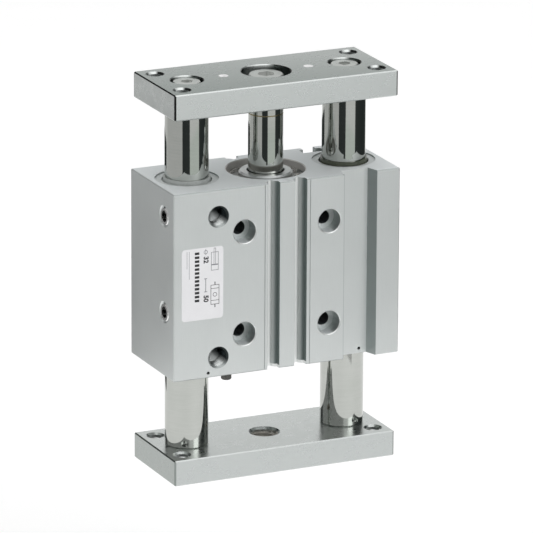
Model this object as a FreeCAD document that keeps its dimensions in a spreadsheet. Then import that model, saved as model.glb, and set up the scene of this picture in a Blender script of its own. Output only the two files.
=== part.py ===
"""Guided pneumatic cylinder: one block holds an air cylinder between two guide rods.

The rods join a top plate and a bottom plate, and the three of them slide through the block
together, so the top plate carries a load without turning. The part stands on its bottom plate:
the origin is the centre of that plate's underside, +Z is up, X runs along the row of rods, and
the face with the air ports looks to -Y. Lengths are in millimetres.
"""
import FreeCAD
import Part
import Sketcher
import math
import os

os.makedirs("parts", exist_ok=True)
doc = FreeCAD.newDocument("guided_cylinder")

# Driving dimensions: a name, its value in millimetres, and what it measures
SIZES = (
    # Travel
    ("stroke", 50.0, "travel of the carriage"),
    ("shown_extension", 23.5, "how far the carriage is run out in the pose as drawn"),
    ("retracted_gap", 10.0, "top plate above the block when run in"),
    ("tail_gap", 11.5, "bottom plate below the block when run out"),
    # Block
    ("block_length", 112.0, "block along the row of rods"),
    ("block_depth", 48.0, "block from front to back"),
    ("head_length", 37.5, "what the block's height adds to the stroke"),
    ("block_edge", 0.4, "chamfer on the block's edges"),
    ("bore_diameter", 32.0, "cylinder bore"),
    ("rod_recess_diameter", 36.0, "recess for the rod cover"),
    ("rod_recess_depth", 15.0, "depth of that recess"),
    ("head_recess_diameter", 34.5, "recess for the head cover"),
    ("head_recess_depth", 7.0, "depth of that recess"),
    ("ring_thickness", 1.5, "retaining rings"),
    ("ring_depth", 1.0, "how deep a retaining ring's groove is"),
    ("ring_slack", 0.05, "play of a retaining ring in its groove"),
    ("ring_band", 2.4, "width of a retaining ring's band"),
    ("ring_eye_radius", 2.2, "its eyes"),
    ("ring_eye_hole", 1.0, "radius of the holes in its eyes"),
    ("ring_eye_inset", 3.2, "its eyes inside the recess's wall"),
    ("ring_eye_spread", 5.0, "its eyes from the middle of its gap"),
    ("ring_gap", 5.6, "its gap"),
    ("rod_ring_inset", 3.25, "rod cover's ring groove below the block's top"),
    ("head_ring_inset", 0.8, "head cover's ring groove above the block's underside"),
    ("guide_inset", 17.0, "guide rods from the block's ends"),
    ("guide_bore_diameter", 26.0, "bores for the guide bushes"),
    ("wiper_recess_diameter", 29.0, "shallow recess round each guide bore"),
    ("wiper_recess_depth", 1.5, "depth of that recess"),
    # Slots and recesses of the block's outside
    ("groove_offset", 6.7, "sensor grooves from the block's middle"),
    ("groove_width", 6.0, "sensor grooves"),
    ("groove_depth", 5.0, "sensor grooves"),
    ("groove_corner", 2.2, "corner radius at a sensor groove's floor"),
    ("line_offset", 11.2, "fine lines beside the sensor grooves, from the middle"),
    ("line_width", 0.5, "fine lines"),
    ("line_depth", 0.3, "fine lines"),
    ("recess_inset", 11.4, "front recess's mouth from the block's right end"),
    ("recess_floor_width", 14.3, "front recess at its floor"),
    ("recess_mouth_width", 16.3, "front recess at the front face"),
    ("recess_depth", 6.0, "front recess"),
    ("slot_inset", 24.5, "T-slots in the back from the block's ends"),
    ("slot_mouth", 6.5, "T-slots at the back face"),
    ("slot_width", 10.5, "T-slots inside"),
    ("slot_lip", 3.5, "thickness of a T-slot's lips"),
    ("slot_depth", 8.5, "T-slots"),
    # Holes of the block
    ("mount_pitch", 42.0, "mounting holes side to side"),
    ("mount_row_inset", 21.0, "upper row of mounting holes below the block's top"),
    ("mount_row_pitch", 48.0, "mounting holes up and down"),
    ("mount_hole_diameter", 6.4, "mounting holes"),
    ("mount_head_diameter", 11.0, "counterbores of the mounting holes"),
    ("mount_head_depth", 7.5, "counterbores of the mounting holes"),
    ("mount_thread_diameter", 6.8, "tapped ends of the mounting holes"),
    ("mount_thread_depth", 16.0, "tapped ends of the mounting holes"),
    ("port_inset", 22.0, "front ports from the block's left end"),
    ("port_top_inset", 12.5, "upper ports below the block's top"),
    ("port_low_height", 9.0, "lower front port above the block's underside"),
    ("port_diameter", 8.6, "tapped air ports"),
    ("port_mouth", 10.3, "countersink of the air ports"),
    ("port_depth", 8.0, "tapped depth of the front ports"),
    ("port_cone", 2.2, "cone below the tapped depth"),
    ("side_port_inset", 10.7, "side ports behind the block's front"),
    ("side_port_low_height", 30.0, "lower side port above the block's underside"),
    ("side_port_depth", 6.0, "side ports"),
    ("passage_diameter", 3.0, "air passages"),
    ("passage_inset", 5.5, "cross passages behind the block's front"),
    ("inward_end_side", 10.3, "inner end of the passages to the bore, left of its axis"),
    ("inward_end_front", 8.0, "inner end of the passages to the bore, in front of its axis"),
    ("inward_lift", 0.75, "lower passage to the bore above its port's middle"),
    ("riser_diameter", 2.0, "upright passage"),
    ("riser_inset", 27.7, "upright passage from the block's left end"),
    ("riser_depth", 4.0, "upright passage behind the block's front"),
    ("riser_plug_diameter", 4.8, "plugged end of the upright passage"),
    ("riser_plug_depth", 4.0, "plugged end of the upright passage"),
    ("riser_plug_stub", 3.0, "how far its plug stands out"),
    ("vent_diameter", 1.5, "breather holes of the guide bores"),
    ("vent_height", 2.2, "breather holes above the block's underside"),
    # Plates
    ("plate_length", 110.0, "plates along the row of rods"),
    ("plate_depth", 46.0, "plates from front to back"),
    ("plate_thickness", 12.0, "plates"),
    ("plate_edge", 0.5, "chamfer on the plates' edges"),
    ("corner_inset_long", 7.0, "tapped corner holes from the plates' ends"),
    ("corner_inset_deep", 8.0, "tapped corner holes from the plates' long sides"),
    ("corner_hole_diameter", 6.8, "tapped corner holes"),
    ("corner_hole_mouth", 8.6, "countersink of the corner holes"),
    ("pin_pitch", 42.0, "locating holes of the top plate"),
    ("pin_hole_diameter", 4.0, "locating holes of the top plate"),
    ("pin_hole_depth", 4.5, "locating holes of the top plate"),
    ("tail_hole_diameter", 12.5, "tapped centre hole of the bottom plate"),
    ("tail_hole_mouth", 14.6, "countersink of that hole"),
    # Rods and their screws
    ("guide_rod_diameter", 20.0, "guide rods"),
    ("piston_rod_diameter", 16.0, "piston rod"),
    ("rod_edge", 0.5, "chamfer on the rods' ends"),
    ("rod_thread_depth", 20.0, "tapped ends of the rods"),
    ("rod_line_inset", 1.8, "fine groove of the piston rod below the top plate"),
    ("rod_line_size", 0.4, "fine groove of the piston rod"),
    ("guide_screw_diameter", 8.0, "screws into the guide rods"),
    ("guide_screw_head", 13.0, "their heads"),
    ("guide_screw_head_height", 5.0, "their heads"),
    ("guide_screw_hex", 5.0, "their hex sockets across flats"),
    ("guide_screw_sink", 0.6, "their heads below the plate's face"),
    ("guide_screw_length", 20.0, "their shanks"),
    ("guide_counterbore_diameter", 15.0, "counterbores over the guide rods"),
    ("centre_screw_diameter", 10.0, "screw into the piston rod"),
    ("centre_screw_head", 16.0, "its head"),
    ("centre_screw_head_height", 6.0, "its head"),
    ("centre_screw_hex", 7.0, "its hex socket across flats"),
    ("centre_screw_sink", 1.3, "its head below the plate's face"),
    ("centre_screw_length", 20.0, "its shank"),
    ("centre_counterbore_diameter", 22.6, "counterbore over the piston rod"),
    ("hex_share", 0.5, "depth of a hex socket as a share of the head's height"),
    ("screw_edge", 0.5, "chamfer of the screws' heads and ends"),
    ("screw_hole_slack", 0.5, "radial clearance of a screw in a plate"),
    ("thread_slack", 0.05, "radial clearance drawn round a screw in its thread"),
    # Bushes, wipers and seals of the block
    ("guide_bush_length", 22.0, "guide bushes"),
    ("wiper_height", 3.5, "guide rod wipers below their rings"),
    ("wiper_lip", 0.6, "thickness of a wiper's lip"),
    ("wiper_lip_rise", 1.1, "how far an upper wiper's lip stands above the block"),
    ("wiper_ring_bore", 23.0, "inside diameter of the wipers' rings"),
    ("wiper_ring_height", 0.9, "height of the wipers' rings"),
    ("running_slack", 0.03, "radial clearance of a rod in its bush"),
    ("seal_slack", 0.05, "radial clearance drawn at a seal"),
    ("press_slack", 0.02, "radial clearance drawn round a pressed piece"),
    ("cover_slack", 0.05, "radial clearance of a cover in its recess"),
    ("cover_skirt_diameter", 33.5, "rod cover's skirt in the air gallery"),
    ("cover_skirt_height", 4.5, "rod cover's skirt"),
    ("cover_notch_width", 6.0, "air notches of that skirt"),
    ("cover_notch_height", 2.5, "air notches of that skirt"),
    ("cover_nose_diameter", 24.6, "raised nose of the rod cover"),
    ("cover_nose_inset", 0.6, "that nose below the block's top"),
    ("cover_nose_chamfer", 0.8, "chamfer of that nose"),
    ("cover_mouth_slack", 0.7, "nose's opening round the piston rod"),
    ("rod_bush_wall", 1.2, "piston rod's bush"),
    ("rod_bush_length", 7.7, "piston rod's bush"),
    ("rod_seal_width", 2.7, "piston rod's seal, radially"),
    ("rod_seal_height", 4.0, "groove of that seal"),
    ("rod_seal_open", 1.3, "open side between that seal's lips"),
    ("rod_seal_drop", 0.8, "its inner lip below its back"),
    ("rod_seal_inset", 1.4, "that groove below the nose's face"),
    ("o_ring_section", 1.7, "O-rings of the covers, as squeezed"),
    ("o_ring_groove", 2.4, "width of their grooves"),
    ("o_ring_flat", 0.36, "half width of their pressed flats"),
    ("head_dish_depth", 1.1, "dish in the head cover's underside"),
    ("bumper_thickness", 1.2, "rubber bumpers at the ends of travel"),
    ("bumper_outside", 26.0, "rubber bumpers"),
    ("bumper_inside", 18.0, "rubber bumpers"),
    ("end_gap", 0.3, "piston to bumper at each end of travel"),
    # Piston
    ("piston_slack", 0.15, "radial clearance of the piston in the bore"),
    ("piston_ring_depth", 2.2, "depth of the piston's grooves"),
    ("wear_ring_width", 2.4, "wear ring"),
    ("piston_seal_width", 3.0, "piston seal"),
    ("magnet_width", 2.6, "magnet ring"),
    ("land_width", 1.1, "lands between the piston's grooves"),
    ("spigot_diameter", 10.0, "end of the piston rod in the piston"),
    ("spigot_length", 6.0, "end of the piston rod in the piston"),
    ("piston_screw_diameter", 6.0, "screw that holds the piston"),
    ("piston_screw_head", 10.0, "its head"),
    ("piston_screw_head_height", 3.3, "its head"),
    ("piston_screw_hex", 4.0, "its hex socket across flats"),
    ("piston_screw_length", 14.0, "its shank"),
    ("piston_counterbore_depth", 4.2, "recess for its head"),
    # Cutting
    ("beyond", 1.0, "how far a cutting tool runs past the face that it opens"),
)


class Size:
    """A length: its number, and the expression that gives it from the sheet."""

    def __init__(self, number, text):
        self.number = number
        self.text = text

    def __add__(self, other):
        other = sized(other)
        return Size(self.number + other.number, f"({self.text} + {other.text})")

    def __sub__(self, other):
        other = sized(other)
        return Size(self.number - other.number, f"({self.text} - {other.text})")

    def __mul__(self, factor):
        factor = sized(factor)
        return Size(self.number * factor.number, f"{self.text} * {factor.text}")

    def __truediv__(self, factor):
        return Size(self.number / factor, f"{self.text} / {factor}")

    def __neg__(self):
        return Size(-self.number, f"(0 - {self.text})")

    __radd__ = __add__
    __rmul__ = __mul__


def sized(value):
    """A plain number as a Size, so that both can be added."""
    if isinstance(value, Size):
        return value
    return Size(float(value), repr(float(value)))


def fill_sheet():
    """Write the driving dimensions to the sheet and give each as a Size by its name."""
    sheet = doc.addObject("Spreadsheet::Sheet", "Sizes")
    for row, (name, value, meaning) in enumerate(SIZES, start=1):
        sheet.set(f"A{row}", name)
        sheet.set(f"B{row}", str(value))
        sheet.set(f"C{row}", meaning)
        sheet.setAlias(f"B{row}", name)
    return {name: Size(value, f"Sizes.{name}") for name, value, meaning in SIZES}


D = fill_sheet()
doc.recompute()

# Heights that more than one piece uses
block_height = D["head_length"] + D["stroke"]
block_base = D["plate_thickness"] + D["tail_gap"] + D["stroke"] - D["shown_extension"]
block_top = block_base + block_height
top_plate_base = block_top + D["retracted_gap"] + D["shown_extension"]
top_plate_face = top_plate_base + D["plate_thickness"]

# Places of the inner pieces, up from the block's underside
ring_groove_height = D["ring_thickness"] + D["ring_slack"] * 2
rod_ring_groove_top = block_height - D["rod_ring_inset"]
rod_ring_groove_base = rod_ring_groove_top - ring_groove_height
cover_base = block_height - D["rod_recess_depth"]
cover_shoulder = rod_ring_groove_base + D["ring_slack"]
cover_nose_top = block_height - D["cover_nose_inset"]
head_ring_groove_base = D["head_ring_inset"]
head_ring_groove_top = head_ring_groove_base + ring_groove_height
head_cover_base = head_ring_groove_top - D["ring_slack"]
head_cover_top = D["head_recess_depth"]
piston_run_in = head_cover_top + D["bumper_thickness"] + D["end_gap"]
piston_base = piston_run_in + D["shown_extension"]
piston_height = (
    D["head_length"] - D["rod_recess_depth"] - D["head_recess_depth"]
    - D["bumper_thickness"] * 2 - D["end_gap"] * 2
)
piston_top = piston_base + piston_height

# Radii and places of the rods
bore_radius = D["bore_diameter"] / 2
block_front = D["block_depth"] / 2
block_side = D["block_length"] / 2
guide_x = block_side - D["guide_inset"]
guide_rod_radius = D["guide_rod_diameter"] / 2
piston_rod_radius = D["piston_rod_diameter"] / 2

SIDES = (("left", -1), ("right", 1))
UPRIGHT = FreeCAD.Rotation()
TO_BACK = FreeCAD.Rotation(FreeCAD.Vector(1, 0, 0), -90)
TO_RIGHT = FreeCAD.Rotation(FreeCAD.Vector(0, 1, 0), 90)
QUARTER_TURN = FreeCAD.Rotation(FreeCAD.Vector(0, 0, 1), 90)
UPSIDE_DOWN = FreeCAD.Rotation(FreeCAD.Vector(1, 0, 0), 180)


# Drawing helpers
def bind(thing, name, value):
    """Tie a property to the sheet."""
    thing.setExpression(name, sized(value).text)


def place(thing, at, turned_to=UPRIGHT):
    """Put a piece at a bound place, turned the given way."""
    thing.Placement = FreeCAD.Placement(FreeCAD.Vector(), turned_to)
    for axis, value in zip("xyz", at):
        bind(thing, f"Placement.Base.{axis}", value)
    return thing


def new_sketch(body, role):
    """A sketch on one of the body's own origin planes."""
    sketch = body.newObject("Sketcher::SketchObject", body.Name + "_sketch")
    plane = next(item for item in body.Origin.OriginFeatures if item.Role == role)
    sketch.AttachmentSupport = [(plane, "")]
    sketch.MapMode = "FlatFace"
    return sketch


def arc_between(start, end, radius, side):
    """An arc from start to end whose centre lies to the left (1) or the right (-1)."""
    chord = end - start
    middle = (start + end) * 0.5
    reach = math.sqrt(max(radius ** 2 - (chord.Length / 2) ** 2, 0.0))
    across = FreeCAD.Vector(-chord.y, chord.x, 0).normalize() * side
    centre = middle + across * reach
    first, last = (start, end) if side > 0 else (end, start)
    angles = [math.atan2(point.y - centre.y, point.x - centre.x) for point in (first, last)]
    circle = Part.Circle(centre, FreeCAD.Vector(0, 0, 1), radius)
    return Part.ArcOfCircle(circle, *angles)


def draw_outline(sketch, points, arcs=None):
    """Draw a closed outline through the points, each bound to the sheet.

    arcs gives (radius, side) for a stretch that is an arc, by the number of its first point.
    """
    arcs = arcs or {}
    corners = [FreeCAD.Vector(sized(x).number, sized(y).number, 0) for x, y in points]
    count = len(points)
    ends = []
    for index, start in enumerate(corners):
        end = corners[(index + 1) % count]
        if index in arcs:
            radius, side = arcs[index]
            edge = sketch.addGeometry(arc_between(start, end, radius.number, side), False)
            ends.append((edge, 1, 2) if side > 0 else (edge, 2, 1))
        else:
            edge = sketch.addGeometry(Part.LineSegment(start, end), False)
            ends.append((edge, 1, 2))
    for index, (edge, first, last) in enumerate(ends):
        following, its_first, its_last = ends[(index + 1) % count]
        sketch.addConstraint(Sketcher.Constraint("Coincident", edge, last, following, its_first))
    for index, (x, y) in enumerate(points):
        edge, first, last = ends[index]
        for kind, value in (("DistanceX", x), ("DistanceY", y)):
            value = sized(value)
            rule = Sketcher.Constraint(kind, -1, 1, edge, first, value.number)
            bind(sketch, f"Constraints[{sketch.addConstraint(rule)}]", value)
        if index in arcs:
            radius = arcs[index][0]
            rule = Sketcher.Constraint("Radius", edge, radius.number)
            bind(sketch, f"Constraints[{sketch.addConstraint(rule)}]", radius)


def turned(name, outline, at=(0, 0, 0), turned_to=UPRIGHT, arcs=None):
    """A round piece: the outline of (radius, height) points, turned about its axis."""
    body = doc.addObject("PartDesign::Body", name)
    sketch = new_sketch(body, "XZ_Plane")
    draw_outline(sketch, outline, arcs)
    turn = body.newObject("PartDesign::Revolution", name + "_turn")
    turn.Profile = sketch
    turn.ReferenceAxis = (sketch, ["V_Axis"])
    turn.Angle = 360
    return place(body, at, turned_to)


def extruded(name, outline, length, at=(0, 0, 0), arcs=None):
    """A piece with one section of (x, y) points, run up along Z."""
    body = doc.addObject("PartDesign::Body", name)
    sketch = new_sketch(body, "XY_Plane")
    draw_outline(sketch, outline, arcs)
    pad = body.newObject("PartDesign::Pad", name + "_pad")
    pad.Profile = sketch
    bind(pad, "Length", length)
    return place(body, at)


def cylinder(name, radius, length, at, turned_to=UPRIGHT):
    """A plain round bar or hole."""
    bar = doc.addObject("Part::Cylinder", name)
    bind(bar, "Radius", radius)
    bind(bar, "Height", length)
    return place(bar, at, turned_to)


def slab(name, length, depth, height, at, edge=None):
    """A rectangular block centred on its place, with all edges chamfered if an edge is given."""
    outline = [
        (-length / 2, -depth / 2),
        (length / 2, -depth / 2),
        (length / 2, depth / 2),
        (-length / 2, depth / 2),
    ]
    body = extruded(name, outline, height, at)
    if edge is not None:
        doc.recompute()
        pad = body.Tip
        chamfer = body.newObject("PartDesign::Chamfer", name + "_edges")
        chamfer.Base = (pad, ["Edge1"])
        chamfer.UseAllEdges = True
        bind(chamfer, "Size", edge)
    return body


def gather(name, pieces):
    """Several solids as one object, kept apart."""
    group = doc.addObject("Part::Compound", name)
    group.Links = pieces
    return group


def cut(name, base, tools):
    """The base with every tool taken away."""
    result = doc.addObject("Part::Cut", name)
    result.Base = base
    result.Tool = tools[0] if len(tools) == 1 else gather(name + "_tools", tools)
    return result


def fused(name, pieces):
    """Pieces that are one solid."""
    result = doc.addObject("Part::MultiFuse", name)
    result.Shapes = pieces
    return result


def ring_section(inner, outer, low, high):
    """The section of a plain ring."""
    return [(inner, low), (outer, low), (outer, high), (inner, high)]


def hole_section(radius, depth, mouth_radius):
    """A hole from the face down: countersunk mouth, straight wall, flat floor."""
    over = D["beyond"]
    return [
        (0, -over),
        (mouth_radius + over, -over),
        (radius, mouth_radius - radius),
        (radius, depth),
        (0, depth),
    ]


# The block
def groove_tool(name, offset, side):
    """One sensor groove with round corners at its floor: side is -1 in front, 1 at the back."""
    half = D["groove_width"] / 2
    corner = D["groove_corner"]
    mouth = (block_front + D["beyond"]) * side
    floor = (block_front - D["groove_depth"]) * side
    spring = (block_front - D["groove_depth"] + corner) * side
    outline = [
        (offset - half, mouth),
        (offset - half, spring),
        (offset - half + corner, floor),
        (offset + half - corner, floor),
        (offset + half, spring),
        (offset + half, mouth),
    ]
    arcs = {1: (corner, -side), 3: (corner, -side)}
    return extruded(name, outline, block_height + D["beyond"] * 2, (0, 0, -D["beyond"]), arcs)


def line_tool(name, offset):
    """One fine line in the front face."""
    half = D["line_width"] / 2
    floor = D["line_depth"] - block_front
    mouth = -block_front - D["beyond"]
    outline = [
        (offset - half, mouth),
        (offset + half, mouth),
        (offset + half, floor),
        (offset - half, floor),
    ]
    return extruded(name, outline, block_height + D["beyond"] * 2, (0, 0, -D["beyond"]))


def front_recess_tool():
    """The wide recess at the front's right: a straight wall, a floor and a slanted wall."""
    start = block_side - D["recess_inset"] - D["recess_mouth_width"]
    mouth = -block_front - D["beyond"]
    flare = D["recess_mouth_width"] - D["recess_floor_width"]
    outline = [
        (start, mouth),
        (start + D["recess_mouth_width"], mouth),
        (start + D["recess_mouth_width"], -block_front),
        (start + D["recess_mouth_width"] - flare, D["recess_depth"] - block_front),
        (start, D["recess_depth"] - block_front),
    ]
    return extruded("front_recess_tool", outline, block_height + D["beyond"] * 2, (0, 0, -D["beyond"]))


def slot_tool(name, offset):
    """One T-slot in the back face."""
    mouth = D["slot_mouth"] / 2
    inside = D["slot_width"] / 2
    open_end = block_front + D["beyond"]
    lip = block_front - D["slot_lip"]
    floor = block_front - D["slot_depth"]
    outline = [
        (offset + mouth, open_end),
        (offset - mouth, open_end),
        (offset - mouth, lip),
        (offset - inside, lip),
        (offset - inside, floor),
        (offset + inside, floor),
        (offset + inside, lip),
        (offset + mouth, lip),
    ]
    return extruded(name, outline, block_height + D["beyond"] * 2, (0, 0, -D["beyond"]))


def bore_tool():
    """The cylinder bore with the covers' recesses and the grooves of their retaining rings."""
    over = D["beyond"]
    head = D["head_recess_diameter"] / 2
    rod = D["rod_recess_diameter"] / 2
    edge = D["block_edge"]
    outline = [
        (0, -over),
        (head, -over),
        (head, head_ring_groove_base),
        (head + D["ring_depth"], head_ring_groove_base),
        (head + D["ring_depth"], head_ring_groove_top),
        (head, head_ring_groove_top),
        (head, head_cover_top),
        (bore_radius, head_cover_top),
        (bore_radius, cover_base),
        (rod, cover_base),
        (rod, rod_ring_groove_base),
        (rod + D["ring_depth"], rod_ring_groove_base),
        (rod + D["ring_depth"], rod_ring_groove_top),
        (rod, rod_ring_groove_top),
        (rod, block_height - edge),
        (rod + edge + over, block_height + over),
        (0, block_height + over),
    ]
    return turned("bore_tool", outline)


def guide_bore_tool(name, x):
    """A guide bore with its shallow recess at both ends."""
    over = D["beyond"]
    bore = D["guide_bore_diameter"] / 2
    recess = D["wiper_recess_diameter"] / 2
    depth = D["wiper_recess_depth"]
    outline = [
        (0, -over),
        (recess, -over),
        (recess, depth),
        (bore, depth),
        (bore, block_height - depth),
        (recess, block_height - depth),
        (recess, block_height + over),
        (0, block_height + over),
    ]
    return turned(name, outline, (x, 0, 0))


def mounting_hole_tool(name, x, z):
    """A mounting hole from the front: counterbore, clearance hole, tapped end at the back."""
    over = D["beyond"]
    depth = D["block_depth"]
    hole = D["mount_hole_diameter"] / 2
    head = D["mount_head_diameter"] / 2
    thread = D["mount_thread_diameter"] / 2
    edge = D["block_edge"]
    outline = [
        (0, -over),
        (head + edge + over, -over),
        (head, edge),
        (head, D["mount_head_depth"]),
        (hole, D["mount_head_depth"]),
        (hole, depth - D["mount_thread_depth"]),
        (thread, depth - D["mount_thread_depth"]),
        (thread, depth - edge * 2),
        (thread + edge * 2 + over, depth + over),
        (0, depth + over),
    ]
    return turned(name, outline, (x, -block_front, z), TO_BACK)


def port_tool(name, at, turned_to, depth):
    """A tapped air port with a countersunk mouth and a drilled cone at its end.

    The quarter turn keeps the round wall's seam clear of the passages that open into it.
    """
    radius = D["port_diameter"] / 2
    outline = hole_section(radius, depth, D["port_mouth"] / 2)
    outline[-1] = (0, depth + D["port_cone"])
    return turned(name, outline, at, turned_to.multiply(QUARTER_TURN))


def drilling(name, start, end, height):
    """A level passage between two (x, y) places."""
    run = [last.number - first.number for first, last in zip(start, end)]
    way = FreeCAD.Rotation(FreeCAD.Vector(0, 0, 1), FreeCAD.Vector(run[0], run[1], 0))
    bar = doc.addObject("Part::Cylinder", name)
    bind(bar, "Radius", D["passage_diameter"] / 2)
    across, along = (last - first for first, last in zip(start, end))
    bar.setExpression("Height", f"sqrt(({across.text})^2 + ({along.text})^2)")
    return place(bar, (start[0], start[1], height), way)


def passage_tools():
    """The drilled passages from the ports to the two ends of the bore."""
    port_x = D["port_inset"] - block_side
    side_x = -block_side + D["side_port_depth"] - D["beyond"]
    cross_y = D["passage_inset"] - block_front
    upper = block_height - D["port_top_inset"]
    riser_x = D["riser_inset"] - block_side
    riser_y = D["riser_depth"] - block_front
    lower_side = D["side_port_low_height"]
    inward_x = -D["inward_end_side"]
    inward_y = -D["inward_end_front"]
    return [
        drilling("upper_cross_passage", (side_x, cross_y), (port_x, cross_y), upper),
        drilling("lower_cross_passage", (side_x, cross_y), (riser_x, cross_y), lower_side),
        drilling("upper_inward_passage", (port_x, cross_y), (inward_x, inward_y), upper),
        drilling("lower_inward_passage", (port_x, cross_y), (inward_x, inward_y),
                 D["port_low_height"] + D["inward_lift"]),
        cylinder("riser_link", D["riser_diameter"] / 2, riser_x - port_x,
                 (port_x, riser_y, D["port_low_height"]), TO_RIGHT),
        cylinder("riser_passage", D["riser_diameter"] / 2,
                 lower_side + D["passage_diameter"] / 2 + D["beyond"],
                 (riser_x, riser_y, -D["beyond"])),
        cylinder("riser_plug_hole", D["riser_plug_diameter"] / 2,
                 D["riser_plug_depth"] + D["beyond"],
                 (riser_x, riser_y, -D["beyond"])),
    ]


def block_tools():
    """Everything that is cut out of the block."""
    tools = [bore_tool(), front_recess_tool()]
    upper_row = block_height - D["mount_row_inset"]
    lower_row = upper_row - D["mount_row_pitch"]
    for side, way in SIDES:
        tools.append(guide_bore_tool(f"{side}_guide_bore_tool", guide_x * way))
        tools.append(groove_tool(f"front_{side}_groove_tool", D["groove_offset"] * way, -1))
        tools.append(groove_tool(f"back_{side}_groove_tool", D["groove_offset"] * way, 1))
        tools.append(line_tool(f"{side}_line_tool", D["line_offset"] * way))
        tools.append(slot_tool(f"{side}_slot_tool", (block_side - D["slot_inset"]) * way))
        tools.append(cylinder(f"{side}_vent_tool", D["vent_diameter"] / 2, block_front,
                              (guide_x * way, -block_front - D["beyond"], D["vent_height"]),
                              TO_BACK))
        for row, height in (("upper", upper_row), ("lower", lower_row)):
            tools.append(mounting_hole_tool(f"{side}_{row}_mounting_tool",
                                            D["mount_pitch"] / 2 * way, height))
    upper_port = block_height - D["port_top_inset"]
    side_y = D["side_port_inset"] - block_front
    for row, height in (("upper", upper_port), ("lower", D["port_low_height"])):
        tools.append(port_tool(f"{row}_front_port_tool",
                               (D["port_inset"] - block_side, -block_front, height), TO_BACK,
                               D["port_depth"]))
    for row, height in (("upper", upper_port), ("lower", D["side_port_low_height"])):
        tools.append(turned(f"{row}_side_port_tool",
                            hole_section(D["port_diameter"] / 2, D["side_port_depth"],
                                         D["port_mouth"] / 2),
                            (-block_side, side_y, height), TO_RIGHT))
    return tools + passage_tools()


def cylinder_body():
    """The extruded block with everything cut out of it."""
    blank = slab("block_blank", D["block_length"], D["block_depth"], block_height, (0, 0, 0),
                 D["block_edge"])
    return place(cut("cylinder_body", blank, block_tools()), (0, 0, block_base))


# Covers, seals and rings at the ends of the bore
def in_block(height):
    """A place on the cylinder's axis, up from the block's underside."""
    return (0, 0, block_base + height)


def rod_cover():
    """The cover that carries the piston rod's bush and seal, with a raised nose."""
    skirt = D["cover_skirt_diameter"] / 2
    flange = D["rod_recess_diameter"] / 2 - D["cover_slack"]
    nose = D["cover_nose_diameter"] / 2
    mouth = piston_rod_radius + D["cover_mouth_slack"]
    bush = piston_rod_radius + D["running_slack"] + D["rod_bush_wall"] + D["press_slack"]
    seal = piston_rod_radius + D["rod_seal_width"]
    seal_top = cover_nose_top - D["rod_seal_inset"]
    seal_base = seal_top - D["rod_seal_height"]
    bush_top = cover_base + D["rod_bush_length"]
    groove_top = cover_shoulder - D["land_width"]
    groove_base = groove_top - D["o_ring_groove"]
    groove = flange + D["cover_slack"] - D["o_ring_section"] - D["seal_slack"]
    outline = [
        (bush, cover_base),
        (skirt, cover_base),
        (skirt, cover_base + D["cover_skirt_height"]),
        (flange, cover_base + D["cover_skirt_height"]),
        (flange, groove_base),
        (groove, groove_base),
        (groove, groove_top),
        (flange, groove_top),
        (flange, cover_shoulder),
        (nose, cover_shoulder),
        (nose, cover_nose_top - D["cover_nose_chamfer"]),
        (nose - D["cover_nose_chamfer"], cover_nose_top),
        (mouth, cover_nose_top),
        (mouth, seal_top),
        (seal, seal_top),
        (seal, seal_base),
        (mouth, seal_base),
        (mouth, bush_top),
        (bush, bush_top),
    ]
    blank = turned("rod_cover_blank", outline)
    notches = [
        slab(f"rod_cover_notch_{number}", D["cover_skirt_diameter"] + D["beyond"] * 2,
             D["cover_notch_width"], D["cover_notch_height"], (0, 0, cover_base))
        for number in (1, 2)
    ]
    notches[1].Placement.Rotation = FreeCAD.Rotation(FreeCAD.Vector(0, 0, 1), 90)
    core = cylinder("rod_cover_notch_core", D["bumper_outside"] / 2, D["cover_notch_height"],
                    (0, 0, cover_base))
    cross = cut("rod_cover_notches", gather("rod_cover_cross", notches), [core])
    cover = cut("rod_cover", blank, [cross])
    return place(cover, in_block(0))


def rod_bush():
    inner = piston_rod_radius + D["running_slack"]
    outline = ring_section(inner, inner + D["rod_bush_wall"], 0, D["rod_bush_length"])
    return turned("rod_bush", outline, in_block(cover_base))


def rod_seal():
    """The piston rod's lip seal, open towards the piston."""
    inner = piston_rod_radius + D["seal_slack"]
    outer = piston_rod_radius + D["rod_seal_width"] - D["seal_slack"]
    height = D["rod_seal_height"] - D["seal_slack"] * 2
    middle = (inner + outer) / 2
    outline = [
        (inner, 0),
        (middle, D["rod_seal_open"]),
        (outer, 0),
        (outer, height),
        (inner + D["wiper_lip"], height),
        (inner, height - D["rod_seal_drop"]),
    ]
    seal_base = cover_nose_top - D["rod_seal_inset"] - D["rod_seal_height"] + D["seal_slack"]
    return turned("rod_seal", outline, in_block(seal_base))


def o_ring(name, outer, height):
    """An O-ring as squeezed in its groove: flat where it is pressed, with broken corners."""
    half = D["o_ring_section"] / 2 - D["seal_slack"]
    flat = D["o_ring_flat"]
    middle = outer - D["seal_slack"] - half
    outline = [
        (middle - half, -flat),
        (middle - flat, -half),
        (middle + flat, -half),
        (middle + half, -flat),
        (middle + half, flat),
        (middle + flat, half),
        (middle - flat, half),
        (middle - half, flat),
    ]
    return turned(name, outline, in_block(height))


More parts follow.
